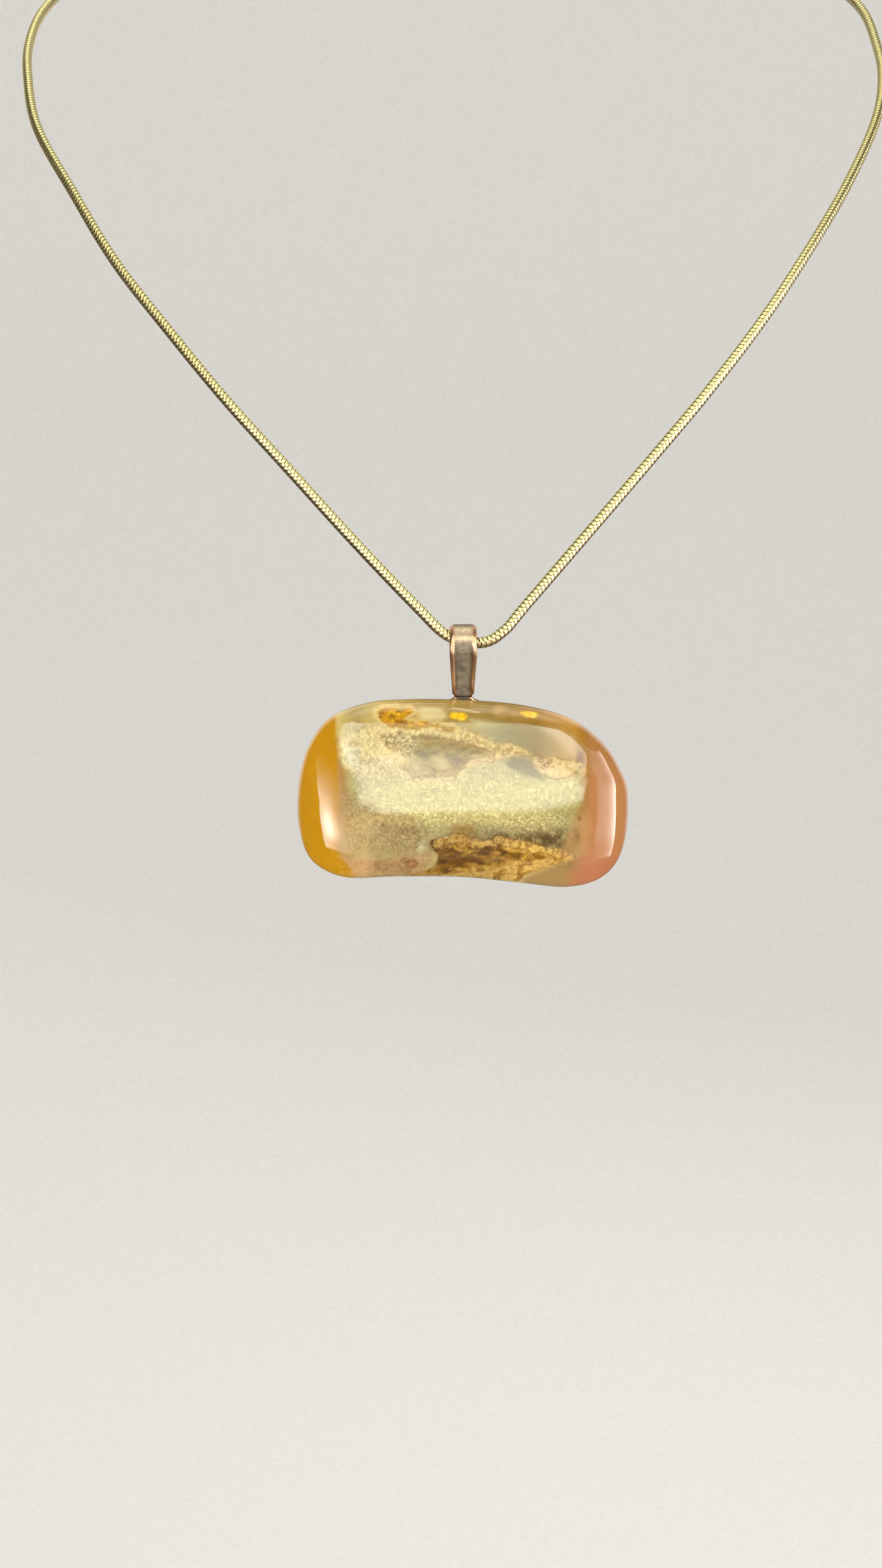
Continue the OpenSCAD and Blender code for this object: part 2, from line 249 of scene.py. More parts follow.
class Nodes:
    """A short way to write a node material."""

    def __init__(self, name):
        self.mat = bpy.data.materials.new(name)
        self.mat.use_nodes = True
        self.tree = self.mat.node_tree
        self.tree.nodes.clear()
        self.out = self.tree.nodes.new("ShaderNodeOutputMaterial")

    def connect(self, socket, value):
        """Links another node's output to the socket, or sets its plain value."""
        if isinstance(value, bpy.types.NodeSocket):
            self.tree.links.new(value, socket)
        else:
            socket.default_value = value

    def add(self, kind, inputs=None, **props):
        node = self.tree.nodes.new("ShaderNode" + kind)
        for key, value in props.items():
            setattr(node, key, value)
        for key, value in (inputs or {}).items():
            self.connect(node.inputs[key], value)
        return node

    def surface(self, node):
        self.tree.links.new(node.outputs[0], self.out.inputs[0])

    def place(self):
        """Object position in millimetres."""
        coord = self.add("TexCoord")
        return self.add("Mapping", {"Vector": coord.outputs["Object"], "Scale": (1 / MM,) * 3}).outputs[0]

    def noise(self, vec, scale, detail=4.0, rough=0.55, distortion=0.0, out="Fac"):
        return self.add("TexNoise", {"Vector": vec, "Scale": scale, "Detail": detail,
                                     "Roughness": rough, "Distortion": distortion}).outputs[out]

    def cell_edges(self, vec, scale):
        """Distance to the nearest edge between cells."""
        return self.add("TexVoronoi", {"Vector": vec, "Scale": scale},
                        feature="DISTANCE_TO_EDGE").outputs["Distance"]

    def math(self, op, a, b=0.0):
        return self.add("Math", {0: a, 1: b}, operation=op).outputs[0]

    def plus(self, a, b):
        return self.math("ADD", a, b)

    def minus(self, a, b):
        return self.math("SUBTRACT", a, b)

    def times(self, a, b):
        return self.math("MULTIPLY", a, b)

    def vector(self, op, a, b):
        return self.add("VectorMath", {0: a, 1: b}, operation=op).outputs[0]

    def ramp(self, value, low, high, to_low=0.0, to_high=1.0):
        return self.add("MapRange", {"Value": value, "From Min": low, "From Max": high, "To Min": to_low,
                                     "To Max": to_high}, interpolation_type="SMOOTHSTEP").outputs[0]

    def mix(self, share, a, b, blend="MIX"):
        node = self.add("Mix", {0: share}, data_type="RGBA", blend_type=blend)
        for socket, colour in ((node.inputs[6], a), (node.inputs[7], b)):
            self.connect(socket, (*colour, 1.0) if isinstance(colour, tuple) else colour)
        return node.outputs[2]

    def tint(self, colour, by):
        return self.mix(1.0, colour, by, "MULTIPLY")

    def attribute(self, name, out="Fac"):
        return self.add("Attribute", attribute_name=name).outputs[out]

    def bump(self, height, strength, distance_mm):
        return self.add("Bump", {"Height": height, "Strength": strength,
                                 "Distance": distance_mm * MM}).outputs[0]

    def principled(self, **inputs):
        self.surface(self.add("BsdfPrincipled", {key.replace("_", " "): v for key, v in inputs.items()}))


def paint(obj, mat):
    obj.data.materials.clear()
    obj.data.materials.append(mat)


# ------------------------------------------------------------------ the stage and lights

FLOOR_Z = -0.60
FLOOR_R, SWEEP_R = 0.9, 1.1
WALL_TOP = 2.4
PENDANT = (0, -0.055, -0.126)
SHELL_R = 1.2


def make_stage():
    """A round floor that sweeps up at its rim, far enough out for every view."""
    turns = 96
    profile = [(r, FLOOR_Z) for r in (0.02, 0.1, 0.3, 0.6, FLOOR_R)]
    for a in np.radians(np.linspace(0, 90, 13)[1:]):
        profile.append((FLOOR_R + SWEEP_R * math.sin(a), FLOOR_Z + SWEEP_R * (1 - math.cos(a))))
    profile.append((FLOOR_R + SWEEP_R, WALL_TOP))
    points = [(r * math.cos(t), r * math.sin(t), z)
              for r, z in profile for t in np.linspace(0, 2 * math.pi, turns, endpoint=False)]
    faces = grid_faces(len(profile), turns) + [tuple(range(turns))[::-1]]
    stage = add_mesh("stage_floor", np.array(points) / MM, faces)
    m = Nodes("stage_paper")
    grain = m.noise(m.place(), 0.35, 3.0)
    colour = m.mix(m.ramp(grain, 0.3, 0.7), (0.78, 0.77, 0.745), (0.82, 0.81, 0.785))
    m.principled(Base_Color=colour, Roughness=0.85, Normal=m.bump(grain, 0.1, 0.2))
    paint(stage, m.mat)
    stage.visible_glossy = False


def make_world():
    world = bpy.data.worlds.new("studio")
    bpy.context.scene.world = world
    world.use_nodes = True
    sky = world.node_tree.nodes["Background"]
    sky.inputs["Color"].default_value = (0.98, 0.99, 1.0, 1)
    sky.inputs["Strength"].default_value = 0.42


def area(name, at, look, size, watts, colour=(1, 1, 1)):
    """A rectangular soft light, out of sight of the camera and of reflections."""
    lamp = bpy.data.lights.new(name, "AREA")
    lamp.shape = "RECTANGLE"
    lamp.size, lamp.size_y = size
    lamp.energy = watts
    lamp.color = colour
    obj = bpy.data.objects.new(name, lamp)
    bpy.context.scene.collection.objects.link(obj)
    obj.location = at
    obj.rotation_euler = (Vector(look) - Vector(at)).to_track_quat("-Z", "Y").to_euler()
    obj.visible_camera = False
    obj.visible_glossy = False


def window_panel(name, low, high, strength):
    """A part of the window, in front of the pendant, between two heights."""
    x, y, width = -0.004, -0.62, 0.22
    middle = (low + high) / 2
    area(name, (x, y, middle), (x, PENDANT[1], middle), (width, high - low),
         strength * math.pi * width * (high - low), (1.0, 0.98, 0.93))


def side_panel(name, angle, width_deg, tall, middle, strength):
    """A tall panel on a circle round the pendant; angle is from straight in front, positive to the right."""
    r, a = 0.56, math.radians(angle)
    width = r * math.radians(width_deg)
    at = (r * math.sin(a), PENDANT[1] - r * math.cos(a), middle)
    area(name, at, (PENDANT[0], PENDANT[1], middle), (width, tall), strength * math.pi * width * tall,
         (1.0, 0.95, 0.88))


make_stage()
make_world()
window_panel("window", -0.162, 0.305, 4.2)
window_panel("window_low", -0.575, -0.162, 1.3)
side_panel("left", -26, 27, 0.56, -0.13, 7.2)
side_panel("right", 45, 46, 0.50, -0.15, 6.4)
area("top", (0.0, 0.45, 0.9), (0, 0, -0.1), (0.8, 0.8), 4.0, (1.0, 0.99, 0.97))
area("backdrop_wash", (0, 0.5, 1.2), (0, 2.0, -0.2), (1.6, 0.6), 8.0)
area("back_fill", (0.3, 1.2, 0.5), (0, 0, -0.1), (0.7, 0.7), 4.0)

# What shiny surfaces reflect: the window's parts, by direction from the pendant in degrees, 0 in front.
WINDOW = [(9.5, -0.6), (12, 4), (22.6, 15.6), (36, 32), (37.3, 41.6), (31.8, 50), (13.3, 46), (4.4, 38.3),
          (-0.5, 33), (-10.4, 38), (-35.8, 54), (-60, 54), (-34, 30), (-14.5, 11), (-4.4, 1.2), (-2.6, -1.2),
          (1.1, -0.9)]
WINDOW_LOW = [(-14, -3), (-9, -1), (9.5, -0.6), (18, -4), (20, -16), (60, -26), (80, -24), (65, -42),
              (32, -45), (12.4, -33), (2.6, -16), (0.6, -15.2), (-0.6, -20), (-0.3, -40), (0.6, -48),
              (-4, -48), (-28, -50), (-36, -38), (-38, -25), (-20, -16)]


def window_glow(az, el):
    """The room, with the window's bright upper part and its dim lower part."""
    glow = np.full(az.shape, 0.10)
    low = smooth(-0.6, 0.6, polygon(az, el, WINDOW_LOW))
    glow = glow * (1 - low) + 0.45 * low
    above = np.maximum(el, 0)
    window = smooth(-0.3, 0.3, polygon(az, el, WINDOW))
    window *= smooth(0, 1, (az + 8 + 0.5 * above) / (2 + 0.25 * above) + 1.4)
    bright = 2.4 + 4.3 * smooth(7, 0.5, el) + 4.0 * smooth(9, 22, np.abs(az))
    return glow * (1 - window) + bright * window


def left_softbox(az, el):
    """Its even part, fading to the right and upwards, and a hot spot low down."""
    inward = az + 37 + 1.6 * np.maximum(el, 0) + 0.05 * np.maximum(-8 - el, 0)
    box = smooth(-1, 1.5, inward) * np.clip(1 - inward / 32, 0, 1) ** 1.2 * (1 - smooth(10, 26, el) * 0.9)
    box *= smooth(-30, -27, el + 0.12 * inward) * (9.0 * smooth(12, -2, el) + 1.8)
    spot = bell(az + 23, 8.0) * bell(el + 8, np.where(el > -8, 5.5, 9.0))
    return box, 17 * spot * smooth(-1, 1.5, inward)


def right_softbox(az, el):
    """Brightest at its far edge."""
    far = 66 + 0.5 * np.abs(el)
    near = 19 + 0.55 * np.maximum(el - 5, 0) + 0.3 * np.maximum(-8 - el, 0)
    across = np.clip((az - near) / (far - near), 0, 1)
    box = smooth(-1.0, 7.0, az - near) * smooth(1, -2, az - far) * (2.0 + 3.6 * across + 19.0 * across ** 4)
    box *= smooth(-33, -30, el + 0.10 * (far - az)) * smooth(42, 36, el)
    return box * (1 - 0.55 * smooth(5, 30, el)) * (1 - 0.5 * smooth(-8, -24, el))


def studio_glow(az, el):
    """How bright the studio is in a direction."""
    left, spot = left_softbox(az, el)
    glow = np.maximum(window_glow(az, el), left) + spot
    glow = np.maximum(glow, right_softbox(az, el))
    # Overhead, and two soft ones behind for the back of the piece.
    glow = np.maximum(glow, 1.9 * smooth(62, 74, el))
    behind = smooth(118, 135, np.abs(az)) * smooth(176, 160, np.abs(az))
    behind *= smooth(-20, 10, el) * smooth(70, 50, el)
    return np.maximum(glow, 1.1 * behind)


def make_reflected_studio():
    """A shell that only reflections see. It shows the window and softboxes and hides the pale room."""
    az = np.concatenate([np.arange(-180, -90, 3.0), np.arange(-90, 90, 1.0), np.arange(90, 180, 3.0)])
    el = np.concatenate([np.arange(-88, -52, 3.0), np.arange(-52, -3, 0.8), np.arange(-3, 3, 0.2),
                         np.arange(3, 58, 0.8), np.arange(58, 89, 3.0)])
    a, e = (v.ravel() for v in np.meshgrid(az, el))
    ra, re = np.radians(a), np.radians(e)
    way = np.stack([np.sin(ra) * np.cos(re), -np.cos(ra) * np.cos(re), np.sin(re)], 1)
    points = (way * SHELL_R + np.array(PENDANT)) / MM
    shell = add_mesh("studio_softboxes", points, tube_faces(len(el), len(az)))
    set_float(shell, "glow", studio_glow(a, e))
    m = Nodes("softbox_glow")
    m.surface(m.add("Emission", {"Color": (1.0, 0.975, 0.93, 1), "Strength": m.attribute("glow")}))
    m.mat.cycles.emission_sampling = "NONE"
    paint(shell, m.mat)
    for ray in ("camera", "diffuse", "transmission", "volume_scatter", "shadow"):
        setattr(shell, "visible_" + ray, False)


make_reflected_studio()

# ------------------------------------------------------------------ the chain

CHAIN_ROUTE = np.array([
    [-11.4, 38, 20], [-15, 38, 20], [-24, 37, 19.5], [-35, 33.5, 18.5],
    [-46, 27, 16], [-55, 19, 12], [-61.5, 9.5, 5.5], [-65.5, 0, -2.5],
    [-66.5, -8, -10], [-65.5, -16, -17.5], [-62.5, -25.5, -28], [-56, -34, -39.5],
    [-49, -40.5, -51], [-41, -45.5, -61.5], [-32.5, -49.5, -72], [-24, -51.5, -81.5],
    [-15, -53, -91.5], [-6.5, -54.5, -100.5], [-2, -55, -104.7],
    [2.5, -55, -105.6], [5.5, -55, -104], [8.5, -54.5, -100.5],
    [17.5, -53, -90], [26, -51, -80], [33.5, -49, -71], [41.5, -45, -60.5],
    [48.5, -40, -50], [55.5, -32, -38.5], [61.5, -22, -26.5], [64, -14.5, -18],
    [64.5, -7, -10.5], [63.5, 1.5, -2], [59.5, 10.5, 5.5], [54, 19, 12],
    [46, 27, 16], [35, 33.5, 18.5], [24, 37, 19.5], [15, 38, 20], [11.4, 38, 20],
])
CHAIN_D = 1.5
PITCH = 0.65
PER_LINK, AROUND = 6, 24


def chain_centre():
    """The chain's middle line, with PER_LINK points to a link, and its length."""
    fine = curve_points(CHAIN_ROUTE, 24)
    total = lengths(fine)[-1]
    links = round(total / PITCH)
    return even(fine, links * PER_LINK + 1), total


def untwisted(line):
    """Two directions across the line, carried along it without twist. The first starts facing front."""
    way = unit(np.gradient(line, axis=0))
    start = int(np.argmin(line[:, 2]))
    across = np.zeros_like(line)
    front = np.array([0, -1.0, 0])
    across[start] = front - way[start] * front.dot(way[start])
    across[start] /= np.linalg.norm(across[start])
    for order in (range(start + 1, len(line)), range(start - 1, -1, -1)):
        last = across[start]
        for i in order:
            v = last - way[i] * last.dot(way[i])
            last = v / np.linalg.norm(v)
            across[i] = last
    return across, np.cross(way, across)


def link_relief(along, phi):
    """The plates' height, 0 to 1: four rows round the chain, slanted in turn, each plate over the next."""
    # Rows meet on the side that faces the front, so two of them show there.
    quarter = phi / (math.pi / 2)
    odd = np.floor(quarter).astype(int) % 4 % 2
    v = quarter % 1
    lean = np.where(odd == 0, v, 1 - v)
    t = (along[:, None] + 0.62 * lean[None, :] + 0.5 * odd[None, :]) % 1
    dome = 1 - np.abs(2 * v - 1) ** 3.0
    lap = smooth(0, 0.22, t) * (1 - 0.30 * t) * (1 - smooth(0.88, 1.0, t))
    return lap * (0.35 + 0.65 * dome[None, :])


def make_chain():
    """The snake chain, slightly square in section and closed at both ends."""
    line, total = chain_centre()
    across, side = untwisted(line)
    phi = 2 * math.pi * (np.arange(AROUND) + 0.5) / AROUND
    relief = link_relief(np.arange(len(line)) / PER_LINK, phi)
    radius = CHAIN_D / 2 * (0.84 + 0.21 * relief) * (1 + 0.03 * np.cos(4 * phi)[None, :])
    out = np.cos(phi)[None, :, None] * across[:, None, :] + np.sin(phi)[None, :, None] * side[:, None, :]
    points = line[:, None, :] + radius[:, :, None] * out
    obj = add_mesh("snake_chain_links", points.reshape(-1, 3), tube_faces(len(line), AROUND))
    set_float(obj, "relief", relief)
    # Painted light: how far each point faces up, so the chain's upper side can be painted lighter.
    set_float(obj, "up", np.clip(out[:, :, 2] * 0.5 + 0.5, 0, 1))
    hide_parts("snake_chain")
    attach(obj, "chain")
    return obj, line, total


def brass_material(name, stamped=False):
    """Antique brass, dark in its hollows. The chain is marked with its hollows and with what faces up: its
    colour is painted lighter and yellower on the side that faces up, as painted light from above.
    """
    m = Nodes(name)
    pos = m.place()
    cloud = m.noise(pos, 0.6, 4.0)
    fine = m.noise(pos, 9.0, 3.0)
    bright, warm, dark = (0.84, 0.75, 0.33), (0.78, 0.61, 0.33), (0.07, 0.055, 0.018)
    if stamped:
        relief = m.attribute("relief")
        # Painted light: brighter and yellower where the chain faces up, warmer where it faces down.
        tone = m.mix(m.ramp(m.attribute("up"), 0.3, 0.75), warm, bright)
        worn = m.ramp(m.plus(relief, m.times(m.minus(fine, 0.5), 0.35)), 0.24, 0.74)
    else:
        tone = m.mix(m.ramp(cloud, 0.35, 0.65), warm, bright)
        worn = m.ramp(m.plus(m.times(cloud, 0.6), m.times(fine, 0.5)), 0.25, 0.62)
    colour = m.mix(worn, dark, tone)
    rough = m.ramp(fine, 0.2, 0.8, 0.26, 0.42)
    m.principled(Base_Color=colour, Metallic=1.0, Roughness=rough, Normal=m.bump(fine, 0.15, 0.03))
    return m.mat


chain, chain_line, chain_length = make_chain()
paint(chain, brass_material("chain_brass", True))

# ------------------------------------------------------------------ the bail

BAIL_AT = np.array([0, -55, -106.0])
LOOP_R, STRIP = 2.2, 0.7
LOOP_MID = LOOP_R + STRIP / 2
LEAN_DEG, LEG = 36, 6.6
TIP_W, LOOP_W, NECK_W, PAD_W = 2.85, 3.7, 2.4, 6.5
TIP_ROUND, PAD_ROUND, BACK_ROUND = 0.5, 1.5, 0.14
PAD_STEP, PAD_END = 0.7, -15.9
RECESS = 0.24


def bail_line():
    """The strip's middle line from the front tip: how far back of and above the loop's middle it lies."""
    lean = math.radians(LEAN_DEG)
    foot = np.array([-LOOP_MID * math.cos(lean), -LOOP_MID * math.sin(lean)])
    down = np.array([math.sin(lean), -math.cos(lean)])
    front_leg = [foot + down * d for d in np.linspace(LEG, 0.3, 22)]
    turn = np.radians(np.linspace(180 + LEAN_DEG, 0, 44))
    loop = np.stack([LOOP_MID * np.cos(turn), LOOP_MID * np.sin(turn)], 1)
    back_leg = [(LOOP_MID, z) for z in np.linspace(-0.4, -6.0, 12)]
    step = [(LOOP_MID + back, z) for back, z in (
        (0, -6.3), (0, -6.55), (0.08, -6.8), (0.3, -7.1), (0.55, -7.38), (0.68, -7.6), (PAD_STEP, -7.8))]
    pad = [(LOOP_MID + PAD_STEP, z) for z in np.linspace(-7.9, PAD_END, 34)]
    return np.vstack([front_leg, loop, back_leg, step, pad])


def rounding(edge, across, deep):
    """How much a rounded edge falls away at a distance from it."""
    return deep * (1 - np.sqrt(np.maximum(1 - np.maximum(1 - edge / across, 0) ** 2, 0)))


def bail_width(line, s):
    """Tapering legs, a rounded tip and a pad with rounded corners."""
    y, z = line.T
    front = TIP_W + (LOOP_W - TIP_W) * np.minimum(s / LEG, 1) - 2 * rounding(s, TIP_ROUND, TIP_ROUND)
    back = LOOP_W + (NECK_W - LOOP_W) * np.clip(-z / LEG, 0, 1)
    spread = np.sqrt(1 - (1 - smooth(-7.0, -8.9, z)) ** 2)
    pad = NECK_W + (PAD_W - NECK_W) * spread - 2 * rounding(z - PAD_END, PAD_ROUND, PAD_ROUND)
    width = np.where((y > 1.5) & (z < 0), back, front)
    return np.where((y > LOOP_MID + 0.05) & (z < -6.9), pad, width)


def make_bail():
    """One folded strip: front leg, loop over the chain, back leg, step and glue pad."""
    line = bail_line()
    s = lengths(line)
    half = bail_width(line, s)[:, None] / 2
    way = unit(np.gradient(line, axis=0))
    out = np.stack([-way[:, 1], way[:, 0]], 1)
    out = np.where((out * line).sum(1)[:, None] < 0, -out, out)
    # Section: u from -1 to 1 across the outer side, then back across the inner side.
    rim = 0.6 * np.linspace(0, 1, 14) ** 1.5
    u_outer = np.concatenate([-1 + rim, np.linspace(-0.32, 0.32, 7), (1 - rim)[::-1]])
    u = np.concatenate([u_outer, np.linspace(1, -1, 13)])
    outer = np.arange(len(u)) < len(u_outer)
    off = np.abs(u)
    x = half * u
    edge = half - np.abs(x)
    # The recess fades out at the tip and over the loop's top, where the rims are rounder and worn.
    d = s[:, None]
    on_pad = (line[:, :1] > LOOP_MID + 0.5)
    recess = smooth(0.1, 1.3, d) * (1 - smooth(LEG + 0.9, LEG + 2.6, d))
    bend = smooth(LEG + 1.2, LEG + 3.4, d) * (1 - smooth(LEG + 7.0, LEG + 9.0, d))
    over = smooth(LEG + 0.6, LEG + 2.6, d) * (1 - smooth(LEG + 6.5, LEG + 8.5, d))
    # Both ends are rounded through the thickness.
    to_end = np.minimum(d / 0.35, np.where(on_pad, (line[:, 1:] - PAD_END) / 0.25, 1))
    thick = STRIP / 2 * np.sqrt(np.maximum(1 - (1 - np.minimum(to_end, 1)) ** 2, 0.02))
    rims = rounding(edge, 0.30 + 0.62 * bend, 0.27 + 0.30 * bend)
    dish = RECESS * recess * smooth(0.86, 0.50, off)
    h = np.where(outer, thick - rims - dish, rounding(edge, BACK_ROUND, BACK_ROUND) - thick)
    points = np.stack([x, line[:, :1] + h * out[:, :1], line[:, 1:] + h * out[:, 1:]], 2)
    obj = add_mesh("bail_strip", points.reshape(-1, 3) + BAIL_AT, tube_faces(len(line), len(u), flip=True))
    wear = np.where(on_pad, 0.3, np.maximum(smooth(0.42, 0.82, off), 0.62 * over))
    set_float(obj, "wear", np.where(outer, wear, 0.25))
    # Where the loop's top crest lies. It is made worn, and it is painted pale as a painted highlight.
    set_float(obj, "over", outer * over * smooth(0.85, 0.45, off))
    # Painted shade: a dark line along the recess's edges, where shade would gather.
    set_float(obj, "recess_edge_shade", outer * recess * bell(off - 0.58, 0.11))
    face_outward(obj, merge=True)
    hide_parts("bail")
    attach(obj, "pendant")
    return obj


def copper_material():
    """Dark patina in the recess and worn copper on the rims. A painted shade line runs along the recess's
    edges. The crest over the loop is pale, partly from worn metal and partly from a painted highlight.
    """
    m = Nodes("worn_copper")
    pos = m.place()
    cloud = m.noise(pos, 0.9, 5.0, 0.6)
    speck = m.noise(pos, 5.0, 4.0, 0.6)
    fine = m.noise(pos, 16.0, 2.0)
    wear = m.attribute("wear")
    patina = m.mix(m.ramp(cloud, 0.35, 0.62), (0.085, 0.072, 0.052), (0.17, 0.135, 0.09))
    patina = m.mix(m.ramp(speck, 0.60, 0.74), patina, (0.44, 0.35, 0.19))
    bright = m.mix(m.ramp(speck, 0.3, 0.7), (0.44, 0.23, 0.125), (0.70, 0.43, 0.25))
    worn = m.ramp(m.plus(wear, m.times(m.minus(speck, 0.5), 0.7)), 0.32, 0.85)
    # Painted highlight, together with real wear: the crest over the loop is painted pale gold.
    crest_wear_and_highlight = m.ramp(m.attribute("over"), 0.2, 1.0)
    bright = m.mix(m.times(crest_wear_and_highlight, 0.75), bright, (0.80, 0.66, 0.40))
    colour = m.mix(worn, patina, bright)
    # Painted shade along the recess's edges.
    colour = m.mix(m.times(m.attribute("recess_edge_shade"), 0.7), colour, (0.045, 0.028, 0.018))
    rough = m.ramp(m.plus(worn, m.times(fine, 0.3)), 0.0, 1.2, 0.5, 0.32)
    bump = m.bump(m.plus(speck, m.times(fine, 0.4)), 0.25, 0.04)
    m.principled(Base_Color=colour, Metallic=m.ramp(worn, 0.0, 0.7, 0.45, 1.0), Roughness=rough, Normal=bump)
    return m.mat


paint(make_bail(), copper_material())

# ------------------------------------------------------------------ the glass: shape

OUTLINE = np.array([
    [22.3, 0], [21, 3.8], [18.8, 7], [14.5, 10.2], [8, 12], [0, 12.7],
    [-7.5, 12.8], [-13, 12.3], [-18, 10.3], [-21, 6.3], [-22.3, 1], [-22.2, -4.5],
    [-20.5, -9], [-16, -11.3], [-9, -11.2], [0, -11.3], [8, -12.1], [14.5, -12.6],
    [19.2, -11], [21.7, -7],
])
CAB = np.array([0, -52.25, -126.0])
HALF_L, RIM, EQUATOR, THICK, POWER = 22.3, 12.0, 2.0, 6.3, 5.0
BASE_TOP, CAP_FOOT = 2.57, 2.54
SEAM_L, SEAM_R = -17.0, 15.5
GLASS_INDEX = 1.5
# Where the layers are looked at from to paint them: x, distance in front of the slab's back, and z.
EYE = np.array([-3.0, 332.75, 1.3])
BAIL_PLANE = 2.75
outline = even(np.vstack([curve_points(OUTLINE, 20, True), OUTLINE[:1]]), 321)[:-1]


def crown(inset):
    """The front surface's height over the slab's back."""
    return EQUATOR + (THICK - EQUATOR) * np.sqrt(np.clip(1 - (1 - inset / RIM) ** POWER, 0, 1))


def crown_inset(h):
    """How far in from the rim the front surface has a height."""
    rise = (h - EQUATOR) / (THICK - EQUATOR)
    return RIM * (1 - (1 - rise * rise) ** (1 / POWER))


def drawn_in(points, inset):
    """Outline points drawn in towards the slab's middle, as the CAD draws them."""
    return points * (1 - inset / np.array([HALF_L, RIM]))


def polar_outline():
    """The outline's radius by angle, with the slab scaled to a circle, over three turns."""
    u, v = outline[:, 0] / HALF_L, outline[:, 1] / RIM
    angle = np.arctan2(v, u)
    order = np.argsort(angle)
    angle, radius = angle[order], np.hypot(u, v)[order]
    return np.concatenate([angle - 2 * math.pi, angle, angle + 2 * math.pi]), np.tile(radius, 3)


ANGLES, RADII = polar_outline()


def inside_ratio(x, z):
    """Below 1 inside the outline."""
    u, v = x / HALF_L, z / RIM
    return np.hypot(u, v) / np.interp(np.arctan2(v, u), ANGLES, RADII)


def crown_at(x, z):
    """The front surface's height at a place, from how far in the outline through it is drawn."""
    low, high = np.zeros_like(x), np.full_like(x, RIM * 0.995)
    for _ in range(26):
        m = (low + high) / 2
        ok = inside_ratio(x / (1 - m / HALF_L), z / (1 - m / RIM)) < 1
        low, high = np.where(ok, m, low), np.where(ok, high, m)
    return crown(low)


def front_to_base(ax, az):
    """Where a sight line through (ax, az) in the bail's plane meets the base's top, bent by the cap."""
    way = unit(np.stack([ax - EYE[0], np.full_like(ax, BAIL_PLANE - EYE[1]), az - EYE[2]], 1))
    t = (6.0 - EYE[1]) / way[:, 1]
    for _ in range(14):
        x, h, z = (EYE + way * t[:, None]).T
        surface = np.where(inside_ratio(x, z) < 1, crown_at(x, z), EQUATOR)
        t = t + 0.8 * (surface - h) / way[:, 1]
    x, h, z = (EYE + way * t[:, None]).T
    step = 0.05
    slope_x = (crown_at(x + step, z) - crown_at(x - step, z)) / (2 * step)
    slope_z = (crown_at(x, z + step) - crown_at(x, z - step)) / (2 * step)
    normal = unit(np.stack([-slope_x, np.ones_like(x), -slope_z], 1))
    cosine = -(normal * way).sum(1)
    k = 1 / GLASS_INDEX
    root = np.sqrt(np.clip(1 - k * k * (1 - cosine * cosine), 0, 1))
    bent = k * way + (k * cosine - root)[:, None] * normal
    down = (BASE_TOP - h) / bent[:, 1]
    return x + bent[:, 0] * down, z + bent[:, 2] * down


def find_seen_places(x, z):
    """The same the other way round, by steps: where on the front a place on the base's top is seen."""
    ax, az = x.copy(), z.copy()
    for _ in range(9):
        bx, bz = front_to_base(ax, az)
        ax = ax + 0.7 * np.clip(x - bx, -1, 1)
        az = az + 0.7 * np.clip(z - bz, -1, 1)
        shrink = 0.995 / np.maximum(inside_ratio(ax, az), 0.995)
        ax, az = ax * shrink, az * shrink
    return ax, az


GRID = 0.5
GRID_X, GRID_Z = np.arange(-22.5, 22.6, GRID), np.arange(-13.0, 13.1, GRID)
SEEN_X, SEEN_Z = (seen.reshape(len(GRID_X), -1) for seen in find_seen_places(
    *(place.ravel() for place in np.meshgrid(GRID_X, GRID_Z, indexing="ij"))))


def seen_places(x, z):
    """Where places on the base's top appear, seen from the front through the cap, from the grid's places."""
    i = np.clip((x - GRID_X[0]) / GRID, 0, len(GRID_X) - 1.001)
    k = np.clip((z - GRID_Z[0]) / GRID, 0, len(GRID_Z) - 1.001)
    a, b = i.astype(int), k.astype(int)
    s, t = i - a, k - b

    def at(table):
        return ((table[a, b] * (1 - s) + table[a + 1, b] * s) * (1 - t)
                + (table[a, b + 1] * (1 - s) + table[a + 1, b + 1] * s) * t)

    return at(SEEN_X), at(SEEN_Z)


# ------------------------------------------------------------------ the glass: colours


class Layers:
    """The fused layers, painted at places (x, z) in mm on the slab as it is seen from the front."""

    def __init__(self, x, z):
        self.x, self.z = x, z
        # Edges wander at two sizes.
        self.wander_x = 0.42 * self.noise(2.2, 3, 3) + 0.22 * self.noise(0.7, 3, 5)
        self.wander_z = 0.42 * self.noise(2.2, 3, 11) + 0.22 * self.noise(0.7, 3, 13)
        self.wx, self.wz = x + self.wander_x, z + self.wander_z
        self.mottle = self.noise(1.6, 5, 21)
        self.grain = self.noise(0.55, 3, 31)
        self.colour = np.tile(lin(196, 180, 122), (len(x), 1))
        self.crack = np.zeros(len(x))
        self.lacy, self.foil = [], []

    def noise(self, size, octaves, seed):
        return fbm(self.x, self.z, size, octaves, seed)

    def inside(self, points, wander=1.0):
        """Signed distance to an outline whose edge wanders: positive inside."""
        return polygon(self.x + wander * self.wander_x, self.z + wander * self.wander_z, points)

    def blob(self, cx, cz, rx, rz, turn=0.0):
        return ellipse(self.wx, self.wz, cx, cz, rx, rz, turn)

    def along(self, points):
        """Distance to an open line that wanders."""
        return path_distance(self.wx, self.wz, points)

    def lay(self, rgb, mask):
        self.colour = mix(self.colour, lin(*rgb), mask)

    def lay_each(self, colours, mask):
        """A colour for each place, instead of one for all."""
        self.colour = self.colour * (1 - mask[:, None]) + colours * mask[:, None]

    def clear(self, mask):
        """No crackle where the mask is 1."""
        self.crack *= 1 - mask


